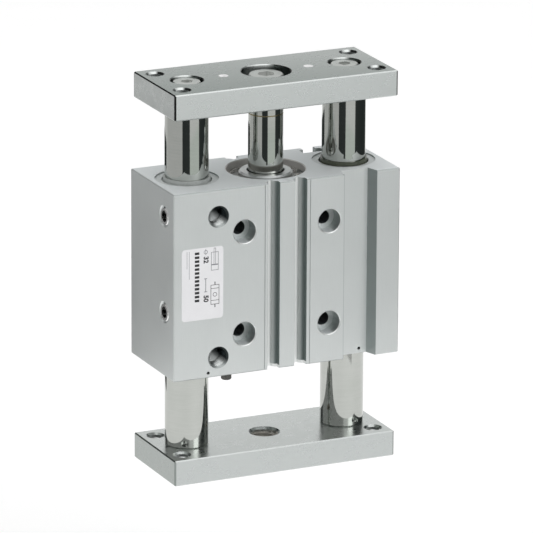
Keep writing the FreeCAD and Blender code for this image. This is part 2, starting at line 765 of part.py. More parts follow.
def retaining_ring(name, recess_radius, height):
    """An internal retaining ring with two eyes beside its gap, which looks to +X."""
    outer = recess_radius + D["ring_depth"] - D["ring_slack"]
    eye_x = recess_radius - D["ring_eye_inset"]
    eye_y = D["ring_eye_spread"]
    thickness = D["ring_thickness"]
    band_ring = turned(name + "_band",
                       ring_section(outer - D["ring_band"], outer, 0, thickness))
    opening = slab(name + "_gap", outer, D["ring_gap"], thickness, (outer, 0, 0))
    open_ring = cut(name + "_open", band_ring, [opening])
    eyes = [cylinder(f"{name}_eye_{side}", D["ring_eye_radius"], thickness,
                     (eye_x, eye_y * way, 0)) for side, way in SIDES]
    holes = [cylinder(f"{name}_hole_{side}", D["ring_eye_hole"], thickness,
                      (eye_x, eye_y * way, 0)) for side, way in SIDES]
    ring = cut(name, fused(name + "_solid", [open_ring] + eyes), holes)
    return place(ring, in_block(height))


def head_cover():
    """The cover that closes the lower end of the bore."""
    flange = D["head_recess_diameter"] / 2 - D["cover_slack"]
    height = head_cover_top - head_cover_base
    groove_low = (height - D["o_ring_groove"]) / 2
    groove = flange + D["cover_slack"] - D["o_ring_section"] - D["seal_slack"]
    dish = D["bumper_inside"] / 2
    outline = [
        (0, D["head_dish_depth"]),
        (dish, D["head_dish_depth"]),
        (dish + D["head_dish_depth"], 0),
        (flange, 0),
        (flange, groove_low),
        (groove, groove_low),
        (groove, groove_low + D["o_ring_groove"]),
        (flange, groove_low + D["o_ring_groove"]),
        (flange, height),
        (0, height),
    ]
    return turned("head_cover", outline, in_block(head_cover_base))


def bumper(name, height):
    outline = ring_section(D["bumper_inside"] / 2, D["bumper_outside"] / 2, 0,
                           D["bumper_thickness"])
    return turned(name, outline, in_block(height))


def end_pieces():
    """Covers, rings, seals and bumpers of the bore."""
    rod_groove_middle = cover_shoulder - D["land_width"] - D["o_ring_groove"] / 2
    head_groove_middle = (head_cover_base + head_cover_top) / 2
    return [
        rod_cover(),
        o_ring("rod_cover_o_ring", D["rod_recess_diameter"] / 2, rod_groove_middle),
        retaining_ring("rod_cover_retaining_ring", D["rod_recess_diameter"] / 2, cover_shoulder),
        rod_bush(),
        rod_seal(),
        bumper("rod_side_bumper", cover_base - D["bumper_thickness"]),
        head_cover(),
        o_ring("head_cover_o_ring", D["head_recess_diameter"] / 2, head_groove_middle),
        retaining_ring("head_cover_retaining_ring", D["head_recess_diameter"] / 2,
                       head_ring_groove_base + D["ring_slack"]),
        bumper("head_side_bumper", head_cover_top),
    ]


# Guides
def guide_set(side, way, end):
    """The bush, wiper and wiper ring at one end of a guide bore."""
    bush_outer = D["guide_bore_diameter"] / 2 - D["press_slack"]
    bush_inner = guide_rod_radius + D["running_slack"]
    seal_inner = guide_rod_radius + D["seal_slack"]
    lip_outer = seal_inner + D["wiper_lip"]
    wiper_top = D["wiper_height"] + D["guide_bush_length"]
    ring_outer = D["wiper_recess_diameter"] / 2 - D["seal_slack"]
    ring_inner = D["wiper_ring_bore"] / 2
    rise = D["wiper_recess_depth"] + (D["wiper_lip_rise"] if end == "upper" else 0)
    wiper = [
        (seal_inner, D["guide_bush_length"]),
        (bush_outer, D["guide_bush_length"]),
        (bush_outer, wiper_top),
        (ring_inner - D["wiper_lip"], wiper_top),
        (lip_outer, wiper_top + D["wiper_lip"]),
        (lip_outer, wiper_top + rise),
        (seal_inner, wiper_top + rise),
    ]
    bush = ring_section(bush_inner, bush_outer, 0, D["guide_bush_length"])
    ring = ring_section(ring_inner, ring_outer, wiper_top, wiper_top + D["wiper_ring_height"])
    seat = block_height - D["wiper_recess_depth"] - wiper_top
    if end == "upper":
        at, turned_to = (guide_x * way, 0, block_base + seat), UPRIGHT
    else:
        at, turned_to = (guide_x * way, 0, block_top - seat), UPSIDE_DOWN
    return [
        turned(f"{side}_{end}_guide_bush", bush, at, turned_to),
        turned(f"{side}_{end}_guide_wiper", wiper, at, turned_to),
        turned(f"{side}_{end}_wiper_ring", ring, at, turned_to),
    ]


# Plugs of the block
def hex_socket(name, flats, depth, at, turned_to=UPRIGHT):
    """A hexagonal hole, sunk from the given place."""
    prism = doc.addObject("Part::Prism", name)
    prism.Polygon = 6
    prism.setExpression("Circumradius", f"{flats.text} / 2 / cos(30)")
    bind(prism, "Height", depth)
    return place(prism, at, turned_to)


def side_port_plugs():
    """Two plugs with hex sockets, one in each side port."""
    plugs = []
    radius = D["port_diameter"] / 2 - D["thread_slack"]
    length = D["side_port_depth"] - D["seal_slack"]
    for row, height in (("upper", block_height - D["port_top_inset"]),
                        ("lower", D["side_port_low_height"])):
        face = D["side_port_depth"] - length
        outline = [
            (0, face),
            (radius - D["block_edge"], face),
            (radius, face + D["block_edge"]),
            (radius, D["side_port_depth"]),
            (0, D["side_port_depth"]),
        ]
        blank = turned(f"{row}_plug_blank", outline)
        socket = hex_socket(f"{row}_plug_socket", D["guide_screw_hex"], length / 2, (0, 0, face))
        plug = cut(f"{row}_plug", blank, [socket])
        side_y = D["side_port_inset"] - block_front
        plugs.append(place(plug, (-block_side, side_y, block_base + height), TO_RIGHT))
    return gather("side_port_plugs", plugs)


def air_passage_plug():
    """The pin that closes the upright passage and stands out below the block."""
    radius = D["riser_plug_diameter"] / 2 - D["press_slack"]
    length = D["riser_plug_depth"] + D["riser_plug_stub"]
    outline = [
        (0, 0),
        (radius - D["block_edge"], 0),
        (radius, D["block_edge"]),
        (radius, length),
        (0, length),
    ]
    return turned("air_passage_plug", outline,
                  (D["riser_inset"] - block_side, D["riser_depth"] - block_front,
                   block_base - D["riser_plug_stub"]))


# Plates
def corner_tools(name, height):
    """The four tapped corner holes of a plate, countersunk on both faces."""
    radius = D["corner_hole_diameter"] / 2
    mouth = D["corner_hole_mouth"] / 2
    over = D["beyond"]
    thick = D["plate_thickness"]
    outline = [
        (0, -over),
        (mouth + over, -over),
        (radius, mouth - radius),
        (radius, thick - mouth + radius),
        (mouth + over, thick + over),
        (0, thick + over),
    ]
    corner_x = D["plate_length"] / 2 - D["corner_inset_long"]
    corner_y = D["plate_depth"] / 2 - D["corner_inset_deep"]
    return [
        turned(f"{name}_corner_{side}_{row}", outline, (corner_x * way, corner_y * depth_way, height))
        for side, way in SIDES for row, depth_way in (("front", -1), ("back", 1))
    ]


def screw_seat(name, x, face, turned_to, screw, head_room, counterbore):
    """A screw's hole through a plate, from the face that its head lies under."""
    hole = screw / 2 + D["screw_hole_slack"]
    over = D["beyond"]
    edge = D["block_edge"]
    outline = [
        (0, -over),
        (counterbore + edge + over, -over),
        (counterbore, edge),
        (counterbore, head_room),
        (hole, head_room),
        (hole, D["plate_thickness"] + over),
        (0, D["plate_thickness"] + over),
    ]
    return turned(name, outline, (x, 0, face), turned_to)


guide_head_room = D["guide_screw_sink"] + D["guide_screw_head_height"]
centre_head_room = D["centre_screw_sink"] + D["centre_screw_head_height"]


def top_plate():
    """The plate that carries the load, bolted to all three rods."""
    blank = slab("top_plate_blank", D["plate_length"], D["plate_depth"], D["plate_thickness"],
                 (0, 0, top_plate_base), D["plate_edge"])
    tools = corner_tools("top_plate", top_plate_base)
    for side, way in SIDES:
        tools.append(screw_seat(f"top_plate_{side}_seat", guide_x * way, top_plate_face,
                                UPSIDE_DOWN, D["guide_screw_diameter"], guide_head_room,
                                D["guide_counterbore_diameter"] / 2))
        tools.append(cylinder(f"top_plate_{side}_pin_hole", D["pin_hole_diameter"] / 2,
                              D["pin_hole_depth"] + D["beyond"],
                              (D["pin_pitch"] / 2 * way, 0,
                               top_plate_face - D["pin_hole_depth"])))
    tools.append(screw_seat("top_plate_centre_seat", 0, top_plate_face, UPSIDE_DOWN,
                            D["centre_screw_diameter"], centre_head_room,
                            D["centre_counterbore_diameter"] / 2))
    return cut("top_plate", blank, tools)


def bottom_plate():
    """The plate that ties the guide rods' lower ends, with a tapped hole in its middle."""
    blank = slab("bottom_plate_blank", D["plate_length"], D["plate_depth"],
                 D["plate_thickness"], (0, 0, 0), D["plate_edge"])
    radius = D["tail_hole_diameter"] / 2
    mouth = D["tail_hole_mouth"] / 2
    over = D["beyond"]
    thick = D["plate_thickness"]
    outline = [
        (0, -over),
        (mouth + over, -over),
        (radius, mouth - radius),
        (radius, thick - mouth + radius),
        (mouth + over, thick + over),
        (0, thick + over),
    ]
    tools = corner_tools("bottom_plate", 0) + [turned("bottom_plate_centre_hole", outline)]
    for side, way in SIDES:
        tools.append(screw_seat(f"bottom_plate_{side}_seat", guide_x * way, 0, UPRIGHT,
                                D["guide_screw_diameter"], guide_head_room,
                                D["guide_counterbore_diameter"] / 2))
    return cut("bottom_plate", blank, tools)


# Rods
def guide_rod(side, way):
    """A guide rod between the plates, tapped at both ends."""
    radius = guide_rod_radius
    edge = D["rod_edge"]
    low = D["plate_thickness"]
    high = top_plate_base
    thread = D["guide_screw_diameter"] / 2 + D["thread_slack"]
    depth = D["rod_thread_depth"]
    outline = [
        (0, low + depth),
        (thread, low + depth),
        (thread, low),
        (radius - edge, low),
        (radius, low + edge),
        (radius, high - edge),
        (radius - edge, high),
        (thread, high),
        (thread, high - depth),
        (0, high - depth),
    ]
    return turned(f"{side}_guide_rod", outline, (guide_x * way, 0, 0))


def piston_rod():
    """The piston rod: a spigot in the piston, a long shaft, a tapped end under the top plate."""
    radius = piston_rod_radius
    edge = D["rod_edge"]
    high = top_plate_base
    low = block_base + piston_top
    spigot = D["spigot_diameter"] / 2 - D["press_slack"]
    thread = D["centre_screw_diameter"] / 2 + D["thread_slack"]
    depth = D["rod_thread_depth"]
    tail = D["piston_screw_diameter"] / 2 + D["thread_slack"]
    foot = low - D["spigot_length"]
    line_top = high - D["rod_line_inset"]
    line = D["rod_line_size"]
    outline = [
        (0, foot + D["piston_screw_length"]),
        (tail, foot + D["piston_screw_length"]),
        (tail, foot),
        (spigot, foot),
        (spigot, low),
        (radius - edge, low),
        (radius, low + edge),
        (radius, line_top - line),
        (radius - line, line_top - line),
        (radius - line, line_top),
        (radius, line_top),
        (radius, high - edge),
        (radius - edge, high),
        (thread, high),
        (thread, high - depth),
        (0, high - depth),
    ]
    return turned("piston_rod", outline)


# Screws
def cap_screw(name, diameter, head, head_height, flats, length, at, turned_to):
    """A low-head cap screw: its head's face is at the given place, its shank runs down."""
    edge = D["screw_edge"]
    outline = [
        (0, 0),
        (head / 2 - edge, 0),
        (head / 2, -edge),
        (head / 2, -head_height),
        (diameter / 2, -head_height),
        (diameter / 2, -head_height - length + edge),
        (diameter / 2 - edge, -head_height - length),
        (0, -head_height - length),
    ]
    depth = head_height * D["hex_share"]
    blank = turned(name + "_blank", outline)
    socket = hex_socket(name + "_socket", flats, depth + D["beyond"], (0, 0, -depth))
    return place(cut(name, blank, [socket]), at, turned_to)


def guide_screw(name, x, face, turned_to):
    return cap_screw(name, D["guide_screw_diameter"], D["guide_screw_head"],
                     D["guide_screw_head_height"], D["guide_screw_hex"],
                     D["guide_screw_length"], (x, 0, face), turned_to)


def screws():
    """The screws that hold the plates to the rods."""
    top_face = top_plate_face - D["guide_screw_sink"]
    top = [guide_screw(f"top_{side}_screw", guide_x * way, top_face, UPRIGHT)
           for side, way in SIDES]
    low = [guide_screw(f"bottom_{side}_screw", guide_x * way, D["guide_screw_sink"], UPSIDE_DOWN)
           for side, way in SIDES]
    centre = cap_screw("piston_rod_screw", D["centre_screw_diameter"], D["centre_screw_head"],
                       D["centre_screw_head_height"], D["centre_screw_hex"],
                       D["centre_screw_length"],
                       (0, 0, top_plate_face - D["centre_screw_sink"]), UPRIGHT)
    return [gather("top_plate_screws", top), centre, gather("bottom_plate_screws", low)]


# Piston
def piston_grooves():
    """The base and top of each groove, up from the piston's underside."""
    land = D["land_width"]
    magnet = (land, land + D["magnet_width"])
    seal = (magnet[1] + land, magnet[1] + land + D["piston_seal_width"])
    wear = (piston_height - land - D["wear_ring_width"], piston_height - land)
    return magnet, seal, wear


def piston():
    """The piston, with grooves for a magnet, a seal and a wear ring."""
    outer = bore_radius - D["piston_slack"]
    groove = outer - D["piston_ring_depth"]
    spigot = D["spigot_diameter"] / 2
    screw = D["piston_screw_diameter"] / 2 + D["screw_hole_slack"] / 2
    head = D["piston_screw_head"] / 2 + D["screw_hole_slack"]
    recess = D["piston_counterbore_depth"]
    outline = [(screw, recess), (head, recess), (head, 0), (outer, 0)]
    for low, high in piston_grooves():
        outline += [(outer, low), (groove, low), (groove, high), (outer, high)]
    outline += [
        (outer, piston_height),
        (spigot, piston_height),
        (spigot, piston_height - D["spigot_length"]),
        (screw, piston_height - D["spigot_length"]),
    ]
    return turned("piston", outline, in_block(piston_base))


def piston_ring(name, span, outer_slack):
    """A ring in one of the piston's grooves."""
    low, high = span
    outer = bore_radius - outer_slack
    inner = bore_radius - D["piston_slack"] - D["piston_ring_depth"] + D["seal_slack"]
    slack = D["seal_slack"]
    outline = ring_section(inner, outer, low + slack, high - slack)
    return turned(name, outline, in_block(piston_base))


def piston_pieces():
    """The piston with what it carries, and the screw that holds it."""
    magnet, seal, wear = piston_grooves()
    screw = cap_screw("piston_screw", D["piston_screw_diameter"], D["piston_screw_head"],
                      D["piston_screw_head_height"], D["piston_screw_hex"],
                      D["piston_screw_length"],
                      in_block(piston_base + D["piston_counterbore_depth"]
                               - D["piston_screw_head_height"]),
                      UPSIDE_DOWN)
    return [
        piston(),
        piston_ring("piston_magnet", magnet, D["piston_slack"] * 2),
        piston_ring("piston_seal", seal, D["seal_slack"]),
        piston_ring("piston_wear_ring", wear, D["seal_slack"]),
        screw,
    ]


def build():
    """Make every sub-part, in the order of assembly."""
    pieces = [cylinder_body()] + end_pieces()
    for side, way in SIDES:
        for end in ("upper", "lower"):
            pieces += guide_set(side, way, end)
    pieces += [side_port_plugs(), air_passage_plug()]
    pieces += [top_plate(), bottom_plate()]
    pieces += [guide_rod(side, way) for side, way in SIDES]
    pieces += [piston_rod()] + piston_pieces() + screws()
    doc.recompute()
    return pieces


def check(pieces):
    """Stop where an object failed or a sub-part isn't one sound shape."""
    for item in doc.Objects:
        if "Invalid" in item.State or "Error" in item.State:
            raise RuntimeError(f"{item.Label} failed: {item.State}")
    for piece in pieces:
        if piece.Shape.isNull() or not piece.Shape.isValid() or not piece.Shape.Solids:
            raise RuntimeError(f"{piece.Label} isn't a sound shape")


sub_parts = build()
check(sub_parts)
for piece in sub_parts:
    piece.Shape.exportStep(f"parts/{piece.Label}.step")
    print(piece.Label, len(piece.Shape.Solids), round(piece.Shape.Volume, 1))
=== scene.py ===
# %% [markdown]
# A guided pneumatic cylinder
#
# The object is a compact air cylinder with two guide rods. An extruded block holds the bore,
# a plate at each end ties the two guide rods together, and the piston rod pushes the top plate.
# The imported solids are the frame: each keeps its place and gets its finish here. What is too
# fine for the solids is modelled in this file: threads, knurls and the printed label.

# %% Load the frame
import bpy
import math
from mathutils import Matrix, Vector


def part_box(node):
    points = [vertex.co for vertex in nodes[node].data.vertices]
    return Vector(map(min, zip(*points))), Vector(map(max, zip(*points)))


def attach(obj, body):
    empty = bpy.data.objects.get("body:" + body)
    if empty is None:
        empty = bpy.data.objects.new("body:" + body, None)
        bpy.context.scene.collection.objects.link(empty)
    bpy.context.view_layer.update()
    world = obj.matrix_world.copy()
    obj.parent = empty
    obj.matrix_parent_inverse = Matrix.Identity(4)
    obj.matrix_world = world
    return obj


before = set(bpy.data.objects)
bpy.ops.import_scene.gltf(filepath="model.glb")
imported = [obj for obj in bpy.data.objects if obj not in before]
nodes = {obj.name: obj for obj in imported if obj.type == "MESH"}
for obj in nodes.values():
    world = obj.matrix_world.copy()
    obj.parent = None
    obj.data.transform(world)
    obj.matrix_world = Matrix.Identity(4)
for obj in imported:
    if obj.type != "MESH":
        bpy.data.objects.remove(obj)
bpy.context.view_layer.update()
MM = 0.001

# %% [markdown]
# The camera
#
# The photograph was taken with a long lens from the left and a little above, so that upright
# edges stay nearly parallel. Distance, lens and angle were fitted to corners and hole centres.
# The camera's own axes are worked out from the three angles, which is easier to correct later
# than a matrix of bare numbers. Distance is in metres, focal length and frame side in pixels.

# %% Place the camera
AZIMUTH, ELEVATION, ROLL = (math.radians(v) for v in (-24.769, 16.919, 0.278))
DISTANCE = 2.6791
FOCAL = 5895.7
FRAME_SIDE = 533
SENSOR = 36.0
FAR_END = 20
LOOK_AT = Vector((0, 0, 91.5 * MM))
PAN = (0.645 * MM, -0.523 * MM)

back = Vector((math.sin(AZIMUTH) * math.cos(ELEVATION),
               -math.cos(AZIMUTH) * math.cos(ELEVATION), math.sin(ELEVATION)))
right = Vector((math.cos(AZIMUTH), math.sin(AZIMUTH), 0))
up = back.cross(right)
rolled_right = right * math.cos(ROLL) + up * math.sin(ROLL)
rolled_up = up * math.cos(ROLL) - right * math.sin(ROLL)
bpy.ops.object.camera_add()
camera = bpy.context.object
camera.data.sensor_width = SENSOR
camera.data.lens = FOCAL / FRAME_SIDE * SENSOR
camera.data.clip_end = FAR_END
camera.location = LOOK_AT + rolled_right * PAN[0] + rolled_up * PAN[1] + back * DISTANCE
axes = (rolled_right, rolled_up, back)
camera.matrix_world = Matrix(
    [[axes[c][r] for c in range(3)] + [camera.location[r]] for r in range(3)] + [[0, 0, 0, 1]])
bpy.context.scene.camera = camera
print("camera", [round(v, 3) for v in camera.location], "lens", round(camera.data.lens, 1))

# %% [markdown]
# Colours and nodes
#
# Colours are written as the hex values that a screen shows, and one function turns them to
# the linear light that Cycles works in. Two more functions add a node and feed its sockets: a
# plain value sets a socket, and another node's output is linked to it. The last one joins what
# every finish has: colour, roughness, how far it is a metal, and a bump from a height.

# %% Helpers for materials
def linear(hex_code):
    """An sRGB hex colour as linear red, green, blue and alpha."""
    parts = [int(hex_code[i:i + 2], 16) / 255 for i in (0, 2, 4)]
    return [v / 12.92 if v <= 0.04045 else ((v + 0.055) / 1.055) ** 2.4 for v in parts] + [1.0]


def feed(tree, node, sockets):
    """Set or link the sockets of a node."""
    for name, value in sockets.items():
        if isinstance(value, bpy.types.NodeSocket):
            tree.links.new(value, node.inputs[name])
        else:
            node.inputs[name].default_value = value


def add(tree, kind, settings=None, sockets=None):
    """Add one node, with its settings and its sockets."""
    node = tree.nodes.new(kind)
    for name, value in (settings or {}).items():
        setattr(node, name, value)
    feed(tree, node, sockets or {})
    return node


def blank_material(name):
    """A material with only a shader and its output."""
    material = bpy.data.materials.new(name)
    material.use_nodes = True
    tree = material.node_tree
    tree.nodes.clear()
    shader = add(tree, "ShaderNodeBsdfPrincipled")
    add(tree, "ShaderNodeOutputMaterial", None, {"Surface": shader.outputs["BSDF"]})
    place = add(tree, "ShaderNodeTexCoord").outputs["Object"]
    return material, tree, shader, place


def surface(tree, shader, colour, rough, metallic, height, strength, rise_mm):
    """Feed the shader, with a bump of a given strength and height in millimetres."""
    bump = add(tree, "ShaderNodeBump", None,
               {"Strength": strength, "Distance": rise_mm * MM, "Height": height})
    feed(tree, shader, {"Base Color": colour, "Roughness": rough, "Metallic": metallic,
                        "Normal": bump.outputs["Normal"]})


print("grey card", [round(v, 3) for v in linear("BFC2C1")])

# %% [markdown]
# How fine a pattern may be
#
# Object coordinates are in metres, so a noise texture with Scale 1 / size repeats about once
# in that size. At 2.2 pixels to the millimetre a real grain of 0.05 mm can't show, so each
# pattern has a fine part near its real size, which softens the gloss, and a coarse part of a
# few millimetres, which the eye reads as the unevenness of the finish.

# %% A helper for uneven finishes
MOTTLE_LOW = 0.7
MOTTLE_HIGH = 1.3


def speckled(tree, place, stretch, fine, coarse, dark, light, low, high):
    """Colour and roughness from two noises, each a given size in millimetres."""
    turned = add(tree, "ShaderNodeVectorMath", {"operation": "MULTIPLY"},
                 {0: place, 1: stretch}).outputs["Vector"]
    small = add(tree, "ShaderNodeTexNoise", None,
                {"Vector": turned, "Scale": 1 / (fine * MM), "Detail": 3.0, "Roughness": 0.6})
    large = add(tree, "ShaderNodeTexNoise", None,
                {"Vector": place, "Scale": 1 / (coarse * MM), "Detail": 4.0, "Roughness": 0.55})
    both = add(tree, "ShaderNodeMath", {"operation": "ADD"},
               {0: small.outputs["Fac"], 1: large.outputs["Fac"]}).outputs["Value"]
    share = add(tree, "ShaderNodeMapRange", None,
                {"Value": both, "From Min": MOTTLE_LOW, "From Max": MOTTLE_HIGH})
    colour = add(tree, "ShaderNodeMix", {"data_type": "RGBA"},
                 {0: share.outputs["Result"], 6: linear(dark), 7: linear(light)})
    rough = add(tree, "ShaderNodeMapRange", None,
                {"Value": both, "From Min": MOTTLE_LOW, "From Max": MOTTLE_HIGH,
                 "To Min": low, "To Max": high})
    return colour.outputs[2], rough.outputs["Result"], small.outputs["Fac"], both


print("helper for finishes ready")

# %% [markdown]
# Finishes that change from place to place
#
# A real surface isn't the same all over: broken edges, hole walls and slots catch dirt or lose
# their skin. Such a place is found either by where it lies or by which way it faces. Each helper
# gives a share from 0 to 1, shares are multiplied, and the result mixes a second colour in.

# %% Helpers for places on a piece
def ramp(tree, value, first, last, full=1.0):
    """0 up to first, full from last on."""
    share = add(tree, "ShaderNodeMapRange", None,
                {"Value": value, "From Min": first, "From Max": last, "To Max": full})
    return share.outputs["Result"]


def reckon(tree, operation, *values):
    """The result of one sum on shares or lengths."""
    node = add(tree, "ShaderNodeMath", {"operation": operation}, dict(enumerate(values)))
    return node.outputs["Value"]


def times(tree, one, other):
    """Two shares multiplied."""
    return reckon(tree, "MULTIPLY", one, other)


def parts(tree, vector, size_only=False):
    """The X, Y and Z of a vector, or their sizes without the sign."""
    if size_only:
        vector = add(tree, "ShaderNodeVectorMath", {"operation": "ABSOLUTE"},
                     {0: vector}).outputs["Vector"]
    split = add(tree, "ShaderNodeSeparateXYZ", None, {"Vector": vector})
    return split.outputs["X"], split.outputs["Y"], split.outputs["Z"]


def facing(tree):
    """Which way the surface faces, in the piece's own axes."""
    return add(tree, "ShaderNodeTexCoord").outputs["Normal"]


def near_axis(tree, place, centre, first, last, flat=(1, 1, 0)):
    """1 inside the radius first, 0 outside last, round an axis and its mirror image in x."""
    x, y, z = parts(tree, place)
    wide = parts(tree, place, True)[0]
    joined = add(tree, "ShaderNodeCombineXYZ", None, {"X": wide, "Y": y, "Z": z})
    moved = add(tree, "ShaderNodeVectorMath", {"operation": "SUBTRACT"},
                {0: joined.outputs["Vector"], 1: centre})
    kept = add(tree, "ShaderNodeVectorMath", {"operation": "MULTIPLY"},
               {0: moved.outputs["Vector"], 1: flat})
    away = add(tree, "ShaderNodeVectorMath", {"operation": "LENGTH"}, {0: kept.outputs["Vector"]})
    return ramp(tree, away.outputs["Value"], last, first)


def blend(tree, share, one, other):
    """One colour turning into the other as the share goes from 0 to 1."""
    mix = add(tree, "ShaderNodeMix", {"data_type": "RGBA"}, {0: share, 6: one, 7: other})
    return mix.outputs[2]


def stain(tree, share, colour, hex_code):
    """A colour turning into the one of a hex value."""
    return blend(tree, share, colour, linear(hex_code))


def turn_rough(tree, share, rough, other):
    """A roughness turning into another as the share goes from 0 to 1."""
    return add(tree, "ShaderNodeMix", None, {0: share, 2: rough, 3: other}).outputs[0]


print("helpers for places ready")

# %% [markdown]
# The extruded block: anodised aluminium
#
# The block is extruded aluminium, machined where it needs a true face and then anodised clear.
# The oxide skin scatters the light, so the faces look pale, even and satin, never mirror-like.
# Faint lines run up the block, the way it left the die. Milled top faces and groove floors are
# duller than the skin. Painted shade darkens hole walls and other walls that face left, the
# groove's far corner, the upper right of the front ports, the mounting holes' inner ends, the
# front top chamfer and a line at the step of the front recess. A painted highlight lights the
# counterbores' edge.

# %% Anodised aluminium
block_low, block_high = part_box("cylinder_body")
FRONT = block_low.y
PORT_HEIGHTS = (125 * MM, 59 * MM)
PORT_X = -34 * MM
MOUNT_HEIGHTS = (116.5 * MM, 68.5 * MM)
MOUNT_X = 21 * MM
SIDE_PORT_HEIGHTS = (125 * MM, 80 * MM)
SIDE_PORT_Y = -13.3 * MM
GROOVE_X = 6.7 * MM
RECESS_X = 28.3 * MM
ALONG_Y = (1, 0, 1)
ALONG_X = (0, 1, 1)


def port_shade(tree, place, height):
    """The upper right of a front port's wall, which no light reaches."""
    x, _, z = parts(tree, place)
    inside = near_axis(tree, place, (-PORT_X, 0, height), 5.0 * MM, 5.1 * MM, ALONG_Y)
    inside = times(tree, inside, ramp(tree, x, 0.0, -1.0 * MM))
    slope = reckon(tree, "ADD", x, z)
    middle = PORT_X + height
    return times(tree, inside, ramp(tree, slope, middle - 1.0 * MM, middle + 3.0 * MM))


def groove_shade(tree, x, y, z, wide):
    """Where the sensor grooves' inside is, how deep its shade is there, and its colour."""
    side = reckon(tree, "SIGN", x)
    local = reckon(tree, "MULTIPLY_ADD", side, -GROOVE_X, x)
    groove = times(tree, ramp(tree, wide, 11.0 * MM, 10.5 * MM),
                   ramp(tree, y, FRONT + 0.05 * MM, FRONT + 0.4 * MM))
    groove = times(tree, groove, ramp(tree, y, FRONT + 6.0 * MM, FRONT + 5.5 * MM))
    shadow = ramp(tree, local, -0.1 * MM, 2.2 * MM)
    depth = stain(tree, shadow, linear("F6F8F7"), "66716F")
    depth = stain(tree, ramp(tree, z, 51.5 * MM, 51.2 * MM), depth, "F4F6F5")
    return groove, shadow, depth


def mounting_shade(tree, place, y, colour, height):
    """A painted highlight on the counterbore's edge of the mounting holes, and painted shade
    in their inner end.
    """
    centre = (MOUNT_X, 0, height)
    rim_highlight = near_axis(tree, place, centre, 5.75 * MM, 5.9 * MM, ALONG_Y)
    hollow = near_axis(tree, place, centre, 5.3 * MM, 5.45 * MM, ALONG_Y)
    rim_highlight = times(tree, rim_highlight, ramp(tree, hollow, 1.0, 0.0))
    rim_highlight = times(tree, rim_highlight, ramp(tree, y, FRONT + 1.0 * MM, FRONT + 0.7 * MM))
    colour = stain(tree, rim_highlight, colour, "F6F8F7")
    shank_shade = near_axis(tree, place, centre, 3.3 * MM, 3.5 * MM, ALONG_Y)
    shank_shade = times(tree, shank_shade, ramp(tree, y, FRONT + 7.4 * MM, FRONT + 8.0 * MM))
    return stain(tree, shank_shade, colour, "6A7070")


def anodised_aluminium():
    material, tree, shader, place = blank_material("anodised_aluminium_satin")
    colour, rough, small, _ = speckled(tree, place, (1, 1, 0.05), 0.5, 18, "D4D8D7", "D8DCDB",
                                       0.42, 0.46)
    x, y, z = parts(tree, place)
    wide = parts(tree, place, True)[0]
    across, along, up = parts(tree, facing(tree))
    # Painted shade: walls that face left, inside the block's outline, are mixed darker.
    inner = times(tree, ramp(tree, across, -0.2, -0.8), ramp(tree, x, -55.5 * MM, -55.0 * MM))
    colour = stain(tree, times(tree, inner, 0.6), colour, "8F9A99")
    groove, shadow, depth = groove_shade(tree, x, y, z, wide)
    colour = blend(tree, groove, colour, depth)
    milled = ramp(tree, up, 0.85, 0.95)
    colour = stain(tree, milled, colour, "E4E8E9")
    rough = turn_rough(tree, milled, rough, 0.62)
    # Painted shade: the front top chamfer is darkened so that its highlight is weaker.
    front_chamfer_shade = times(tree, ramp(tree, up, 0.3, 0.5), ramp(tree, along, -0.3, -0.5))
    colour = stain(tree, front_chamfer_shade, colour, "AEB3B2")
    bore = near_axis(tree, place, (0, 0, 0), 18.3 * MM, 18.5 * MM)
    colour = stain(tree, bore, colour, "C9C7C4")
    dull = reckon(tree, "MAXIMUM", times(tree, groove, shadow), times(tree, milled, 0.6))
    dull = reckon(tree, "MAXIMUM", dull, times(tree, bore, 0.6))
    for height in PORT_HEIGHTS:
        colour = stain(tree, port_shade(tree, place, height), colour, "3A4040")
    for height in MOUNT_HEIGHTS:
        colour = mounting_shade(tree, place, y, colour, height)
    # Painted shade: a thin dark line along the step of the front recess.
    step = times(tree, ramp(tree, x, RECESS_X - 0.3 * MM, RECESS_X - 0.2 * MM),
                 ramp(tree, x, RECESS_X + 0.15 * MM, RECESS_X))
    step = times(tree, step, ramp(tree, y, FRONT + 1.0 * MM, FRONT + 0.5 * MM))
    colour = stain(tree, times(tree, step, 0.5), colour, "8F9A99")
    surface(tree, shader, colour, rough, ramp(tree, dull, 1.1, 0.0, 0.93), small, 0.08, 0.01)
    return material


block_finish = anodised_aluminium()
print("made", block_finish.name)

# %% [markdown]
# The end plates: ground steel with a thin plating
#
# Both plates are flat steel, ground and then plated thinly against rust. Under the gloss stays
# the mottle of the grinding and plating, a few millimetres across, and short marks along the
# plate. They shine more than the block and mirror the rods faintly. The hue is a cool green grey.
# The upright corners are darker. There the sizes of x and y add up to nearly their largest sum,
# 55 and 23 mm. Painted light and shade: sides are mixed to a given colour by which way they face,
# the top plate's top face darkens towards the front left, its hole walls darken by which way they
# face and its pin holes are white as a painted highlight. The chamfer between the left side and
# the top takes a painted dark reflection.

# %% Ground and plated steel
PIN_X = 21.0 * MM
GUIDE_X = (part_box("right_guide_rod")[0].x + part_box("right_guide_rod")[1].x) / 2
CORNER_SUM = 78 * MM


